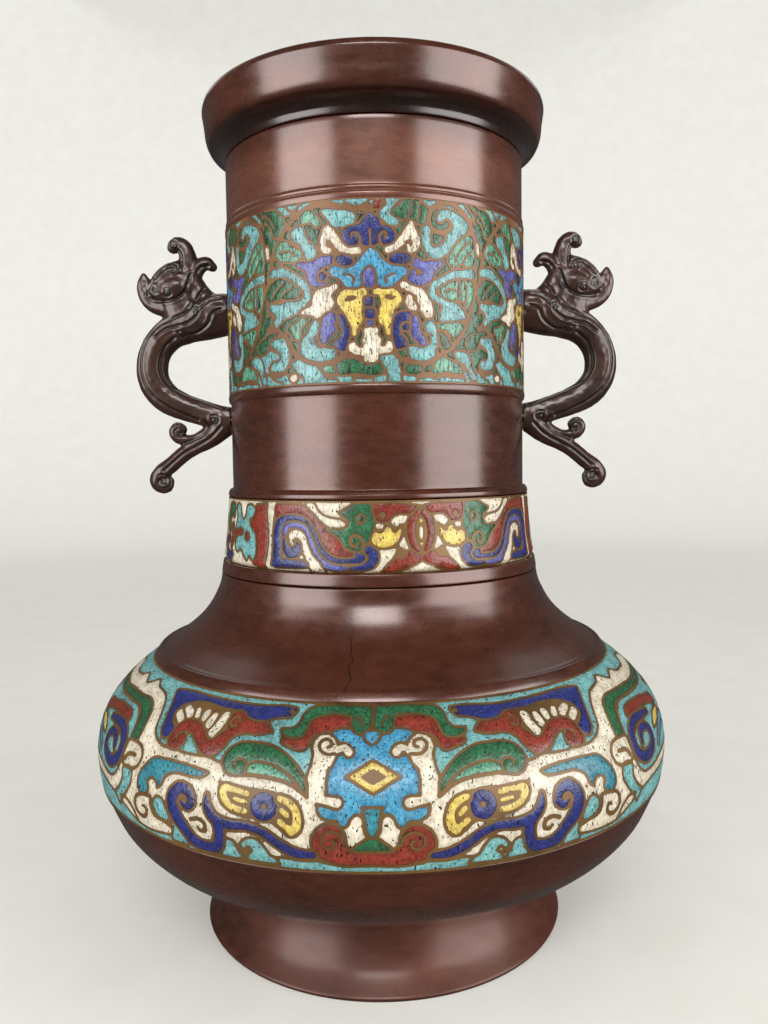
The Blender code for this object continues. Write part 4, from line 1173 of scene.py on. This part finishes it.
# Each lamp: azimuth and elevation in degrees, distance, width and height in metres, and power in watts
LAMPS = {
    "window_left": (-50, 12, 1.2, 0.85, 0.85, 12),
    "window_right": (58, 12, 1.2, 1.1, 0.85, 15),
    "overhead": (-2, 38, 1.3, 0.6, 0.25, 6),
    "ceiling": (180, 50, 2.0, 3.0, 1.2, 8),
}
ROOM_LIGHT = (1.0, 0.98, 0.95, 1)
ROOM_STRENGTH = 0.08
PAPER_RADIUS = 1.9
PAPER_BEND = 0.6
PAPER_HEIGHT = 2.4
PAPER_SIDES = 96


def camera():
    """A camera in front of the vase, a little above its middle and tipped slightly down."""
    data = bpy.data.cameras.new("camera")
    data.lens = LENS_REACH / FRAME_HEIGHT * SENSOR
    data.sensor_width = SENSOR
    data.clip_start = 0.01
    eye = bpy.data.objects.new("camera", data)
    eye.location = EYE
    aim = Matrix.Rotation(math.radians(90 - TIPPED_DOWN), 4, "X")
    eye.rotation_euler = (aim @ Matrix.Rotation(math.radians(ROLLED), 4, "Z")).to_euler()
    bpy.context.scene.collection.objects.link(eye)
    bpy.context.scene.camera = eye


def softbox(name, azimuth, elevation, distance, width, height, power):
    """A large lamp aimed at the vase. Azimuth 0 is the viewer's side and grows to the viewer's right."""
    data = bpy.data.lights.new(name, "AREA")
    data.shape = "RECTANGLE"
    data.size = width
    data.size_y = height
    data.energy = power
    lamp = bpy.data.objects.new(name, data)
    around, up = math.radians(azimuth), math.radians(elevation)
    away = Vector((math.sin(around) * math.cos(up), -math.cos(around) * math.cos(up), math.sin(up)))
    lamp.location = VASE_MIDDLE + away * distance
    lamp.rotation_euler = away.to_track_quat("Z", "Y").to_euler()
    bpy.context.scene.collection.objects.link(lamp)


def paper():
    """Pale paper that glows a little more far from the vase, where less lamplight reaches it."""
    material, tree, shader, where = started("paper")
    away = node(tree, "VectorMath", {0: where}, output=1, operation="LENGTH")
    beyond = node(tree, "MapRange", {0: away, 1: 0.5, 2: 2.1}, interpolation_type="SMOOTHSTEP")
    colour = blended(tree, beyond, tone(206, 203, 196), tone(214, 214, 209))
    colour = blended(tree, patches(tree, where, 30, 0.3, 0.7), colour, tone(210, 208, 202))
    tree.links.new(colour, shader.inputs["Base Color"])
    shader.inputs["Roughness"].default_value = 0.9
    shader.inputs["Emission Color"].default_value = tone(236, 237, 236)
    tree.links.new(ramp(tree, beyond, 0.0, 1.0, 0.12, 0.27), shader.inputs["Emission Strength"])
    return material


def backdrop():
    """A paper floor that curves up into a wall all round. The bronze doesn't mirror it."""
    steps, wall_foot = PAPER_SIDES, PAPER_RADIUS - PAPER_BEND
    turns = np.arange(steps) / steps * FULL_TURN
    profile = [(0.02, 0.0), (0.25, 0.0), (0.6, 0.0)]
    for a in np.linspace(0, math.pi / 2, 16):
        profile.append((wall_foot + PAPER_BEND * math.sin(a), PAPER_BEND - PAPER_BEND * math.cos(a)))
    profile.append((PAPER_RADIUS, PAPER_HEIGHT))
    points = [(r * math.cos(a), r * math.sin(a), z) for r, z in profile for a in turns]
    faces = [
        [(i + 1) * steps + j, (i + 1) * steps + (j + 1) % steps, i * steps + (j + 1) % steps, i * steps + j]
        for i in range(len(profile) - 1) for j in range(steps)
    ]
    faces.append(list(range(steps - 1, -1, -1)))
    mesh = bpy.data.meshes.new("paper")
    mesh.from_pydata(points, [], faces)
    mesh.validate()
    mesh.shade_smooth()
    mesh.materials.append(paper())
    stand = bpy.data.objects.new("paper", mesh)
    stand.visible_glossy = False
    bpy.context.scene.collection.objects.link(stand)
    stand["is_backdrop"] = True


def studio():
    """Soft window light from both sides, a lamp overhead and a ceiling lamp behind, in a pale room."""
    world = bpy.data.worlds.new("room")
    world.use_nodes = True
    world.node_tree.nodes["Background"].inputs[0].default_value = ROOM_LIGHT
    world.node_tree.nodes["Background"].inputs[1].default_value = ROOM_STRENGTH
    bpy.context.scene.world = world
    for name, values in LAMPS.items():
        softbox(name, *values)
    backdrop()
    bpy.context.scene.view_settings.view_transform = "Standard"


# The enamel bands on the vase

# Uneven handwork: how large the wanderings are along and up a band, and the size and height of each ripple
SWAY_ALONG = 13
SWAY_UP = 11
RIPPLES = ((1.3, 0.06), (0.6, 0.03))


def ring(sheet, drawing, length, low, high, fold, seed, sway, margin):
    """A drawing painted, folded round the vase, and made a little uneven as old handwork is.

    The belt is length round and runs from low to high, with a margin of bare bronze along both edges.
    """
    for colour, marks in cells_of(drawing):
        sheet.paint(colour, marks)
    sheet.settle()
    step = sheet.step
    columns = int(round(length / step))
    x, y = np.meshgrid(np.linspace(0, length, columns + 1), np.arange(low, high, step))
    tall = high - low + 2
    across = fold(x - length / 2 + ripple(seed, length, tall, x, y, SWAY_ALONG) * sway)
    up = y + ripple(seed + 1, length, tall, x, y, SWAY_UP) * sway
    rows, cols = (up - sheet.y0) / step, (across - sheet.x0) / step
    wall = sampled(sheet.wall, rows, cols)
    near = np.clip(np.rint(rows).astype(int), 0, sheet.colour.shape[0] - 1)
    colour = sheet.colour[near, np.clip(np.rint(cols).astype(int), 0, sheet.colour.shape[1] - 1)]
    for n, (size, height) in enumerate(RIPPLES):
        wall = wall + height * ripple(seed + 2 + n, length, tall, x, y, size)
    wall = np.minimum(wall, np.minimum(y - y[0, 0], y[-1, 0] - y) - margin)
    wall[:, -1], colour[:, -1] = wall[:, 0], colour[:, 0]
    return Belt(wall, colour, -length / 2, low, (length / columns, step))


def mirrored(centre, half):
    """Folds places along a band so that the drawing repeats every half, mirrored about its centre."""
    return lambda x: np.abs((x - centre + half / 2) % half - half / 2)


def repeated(centre, width, length, others):
    """Folds places so that one drawing faces the viewer, and others, scaled to fit, fill the rest of the band."""
    rest = length - width

    def fold(x):
        beyond = (x - centre - width / 2) % length
        share = np.where(beyond < rest, beyond / (rest / others) % 1, (beyond - length + width) / width)
        return share * width + centre - width / 2

    return fold


def band(name, prefix, wall, belt, colours):
    """Puts a belt on the vase in place of a CAD band."""
    for piece in wrap(prefix, wall, belt, colours):
        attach(piece, "root")
        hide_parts(name)


def belly(colours):
    """The wide belly band: the drawing beside its mirror image, twice round."""
    radius, centre = 100.84, -2.02
    length = FULL_TURN * radius
    sheet = Sheet(-0.5, 159, 0, 52, "turquoise", 0.5, line=0.4, grow=0.18)
    belt = ring(sheet, BELLY_DRAWING, length, 0.5, 50.9, mirrored(centre, length / 2), 1, 0.3, 0.7)
    band("belly_enamel", "belly", Wall("belly_enamel", 0.95, radius), belt, colours)


def upper_neck(colours):
    """The tall neck band: the drawing faces the viewer and is repeated four times behind."""
    radius = 56.33
    length = FULL_TURN * radius
    sheet = Sheet(-39.5, 36.5, 5, 66, "green", 0.4, line=0.36, grow=0.4, spread=0.7)
    belt = ring(sheet, NECK_DRAWING, length, 6.0, 65.2, repeated(-1.5, 76, length, 4), 11, 0.25, 0.5)
    band("upper_neck_enamel", "neck", Wall("upper_neck_enamel", 6.41, radius), belt, colours)


def lower_neck(colours):
    """The narrow neck band: its drawing ends at the centre and is mirrored there, twice round."""
    radius, centre = 58.82, 14.5
    length = FULL_TURN * radius
    fold = mirrored(centre, length / 2)
    sheet = Sheet(-79, 15, 5, 34, "white", 0.4, line=0.36, grow=0.22)
    belt = ring(sheet, LOWER_DRAWING, length, 7.6, 32.4, lambda x: centre - fold(x), 21, 0.2, 0.5)
    band("lower_neck_enamel", "lower", Wall("lower_neck_enamel", 7.96, radius), belt, colours)


# The whole vase

ENAMELS = {
    "turquoise": ((62, 116, 122), (96, 156, 158), (146, 190, 184)),
    "white": ((176, 164, 140), (206, 196, 176), (226, 218, 202)),
    "light_blue": ((30, 98, 134), (52, 130, 166), (100, 170, 196)),
    "teal": ((24, 84, 104), (40, 118, 132), (70, 150, 160)),
    "dark_blue": ((16, 22, 62), (28, 36, 100), (54, 64, 138)),
    "violet": ((52, 54, 116), (76, 80, 152), (116, 120, 184)),
    "green": ((14, 56, 34), (28, 88, 54), (60, 124, 84), 0.45),
    "light_green": ((44, 104, 82), (78, 144, 116), (126, 182, 152), 0.6),
    "red": ((84, 22, 15), (120, 38, 26), (154, 70, 52)),
    "yellow": ((168, 138, 50), (206, 178, 78), (232, 212, 130)),
}
TURNED = ("mouth_rim", "neck_shell", "body_shell", "foot_ring")
PLAIN = (
    "base_plate",
    "handle_pin_right_upper", "handle_pin_right_lower", "handle_pin_left_upper", "handle_pin_left_lower",
)


def shells(body_finish, foot_finish):
    """The rim, neck, body and foot, turned smooth."""
    for name in TURNED:
        piece = turned(name + "_turned", softened(cad_outline(name)))
        piece.data.materials.append(foot_finish if name == "foot_ring" else body_finish)
        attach(piece, "root")
        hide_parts(name)


def bands():
    """The three enamel bands, with a paler bronze line in the upper one."""
    line = bronze("line", (70, 48, 22), (108, 78, 38), (142, 108, 60), 0.45, False, coat=0.1)
    neck_line = bronze("neck_line", (78, 50, 26), (114, 78, 46), (150, 114, 76), 0.45, False, coat=0.1)
    colours = {"line": line, **{name: enamel(name, *ENAMELS[name]) for name in PALETTE[1:]}}
    belly(colours)
    upper_neck({**colours, "line": neck_line})
    lower_neck(colours)


def finish_plain(finish):
    """The CAD nodes that show as they are."""
    for name in PLAIN:
        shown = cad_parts[name]
        shown.data.materials.clear()
        shown.data.materials.append(finish)


camera()
studio()
# The body's bronze also takes the paler upper neck, the painted shade under the rim and the crack.
brown = bronze("bronze", (50, 23, 12), (77, 36, 21), (101, 54, 36), 0.26, marks_and_shade=True)
shells(brown, bronze("foot_bronze", (54, 25, 14), (84, 40, 25), (110, 62, 44), 0.42, coat=0.2))
bands()
dark_tones = (36, 21, 16), (62, 37, 28), (88, 58, 46)
handles(bronze("dragon_bronze", *dark_tones, 0.32, streaks=False, recess=(15, 18, 13), coat=0.5))
finish_plain(brown)
for label, edges in (("at load", bounds_at_load), ("now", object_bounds())):
    print(label, edges)
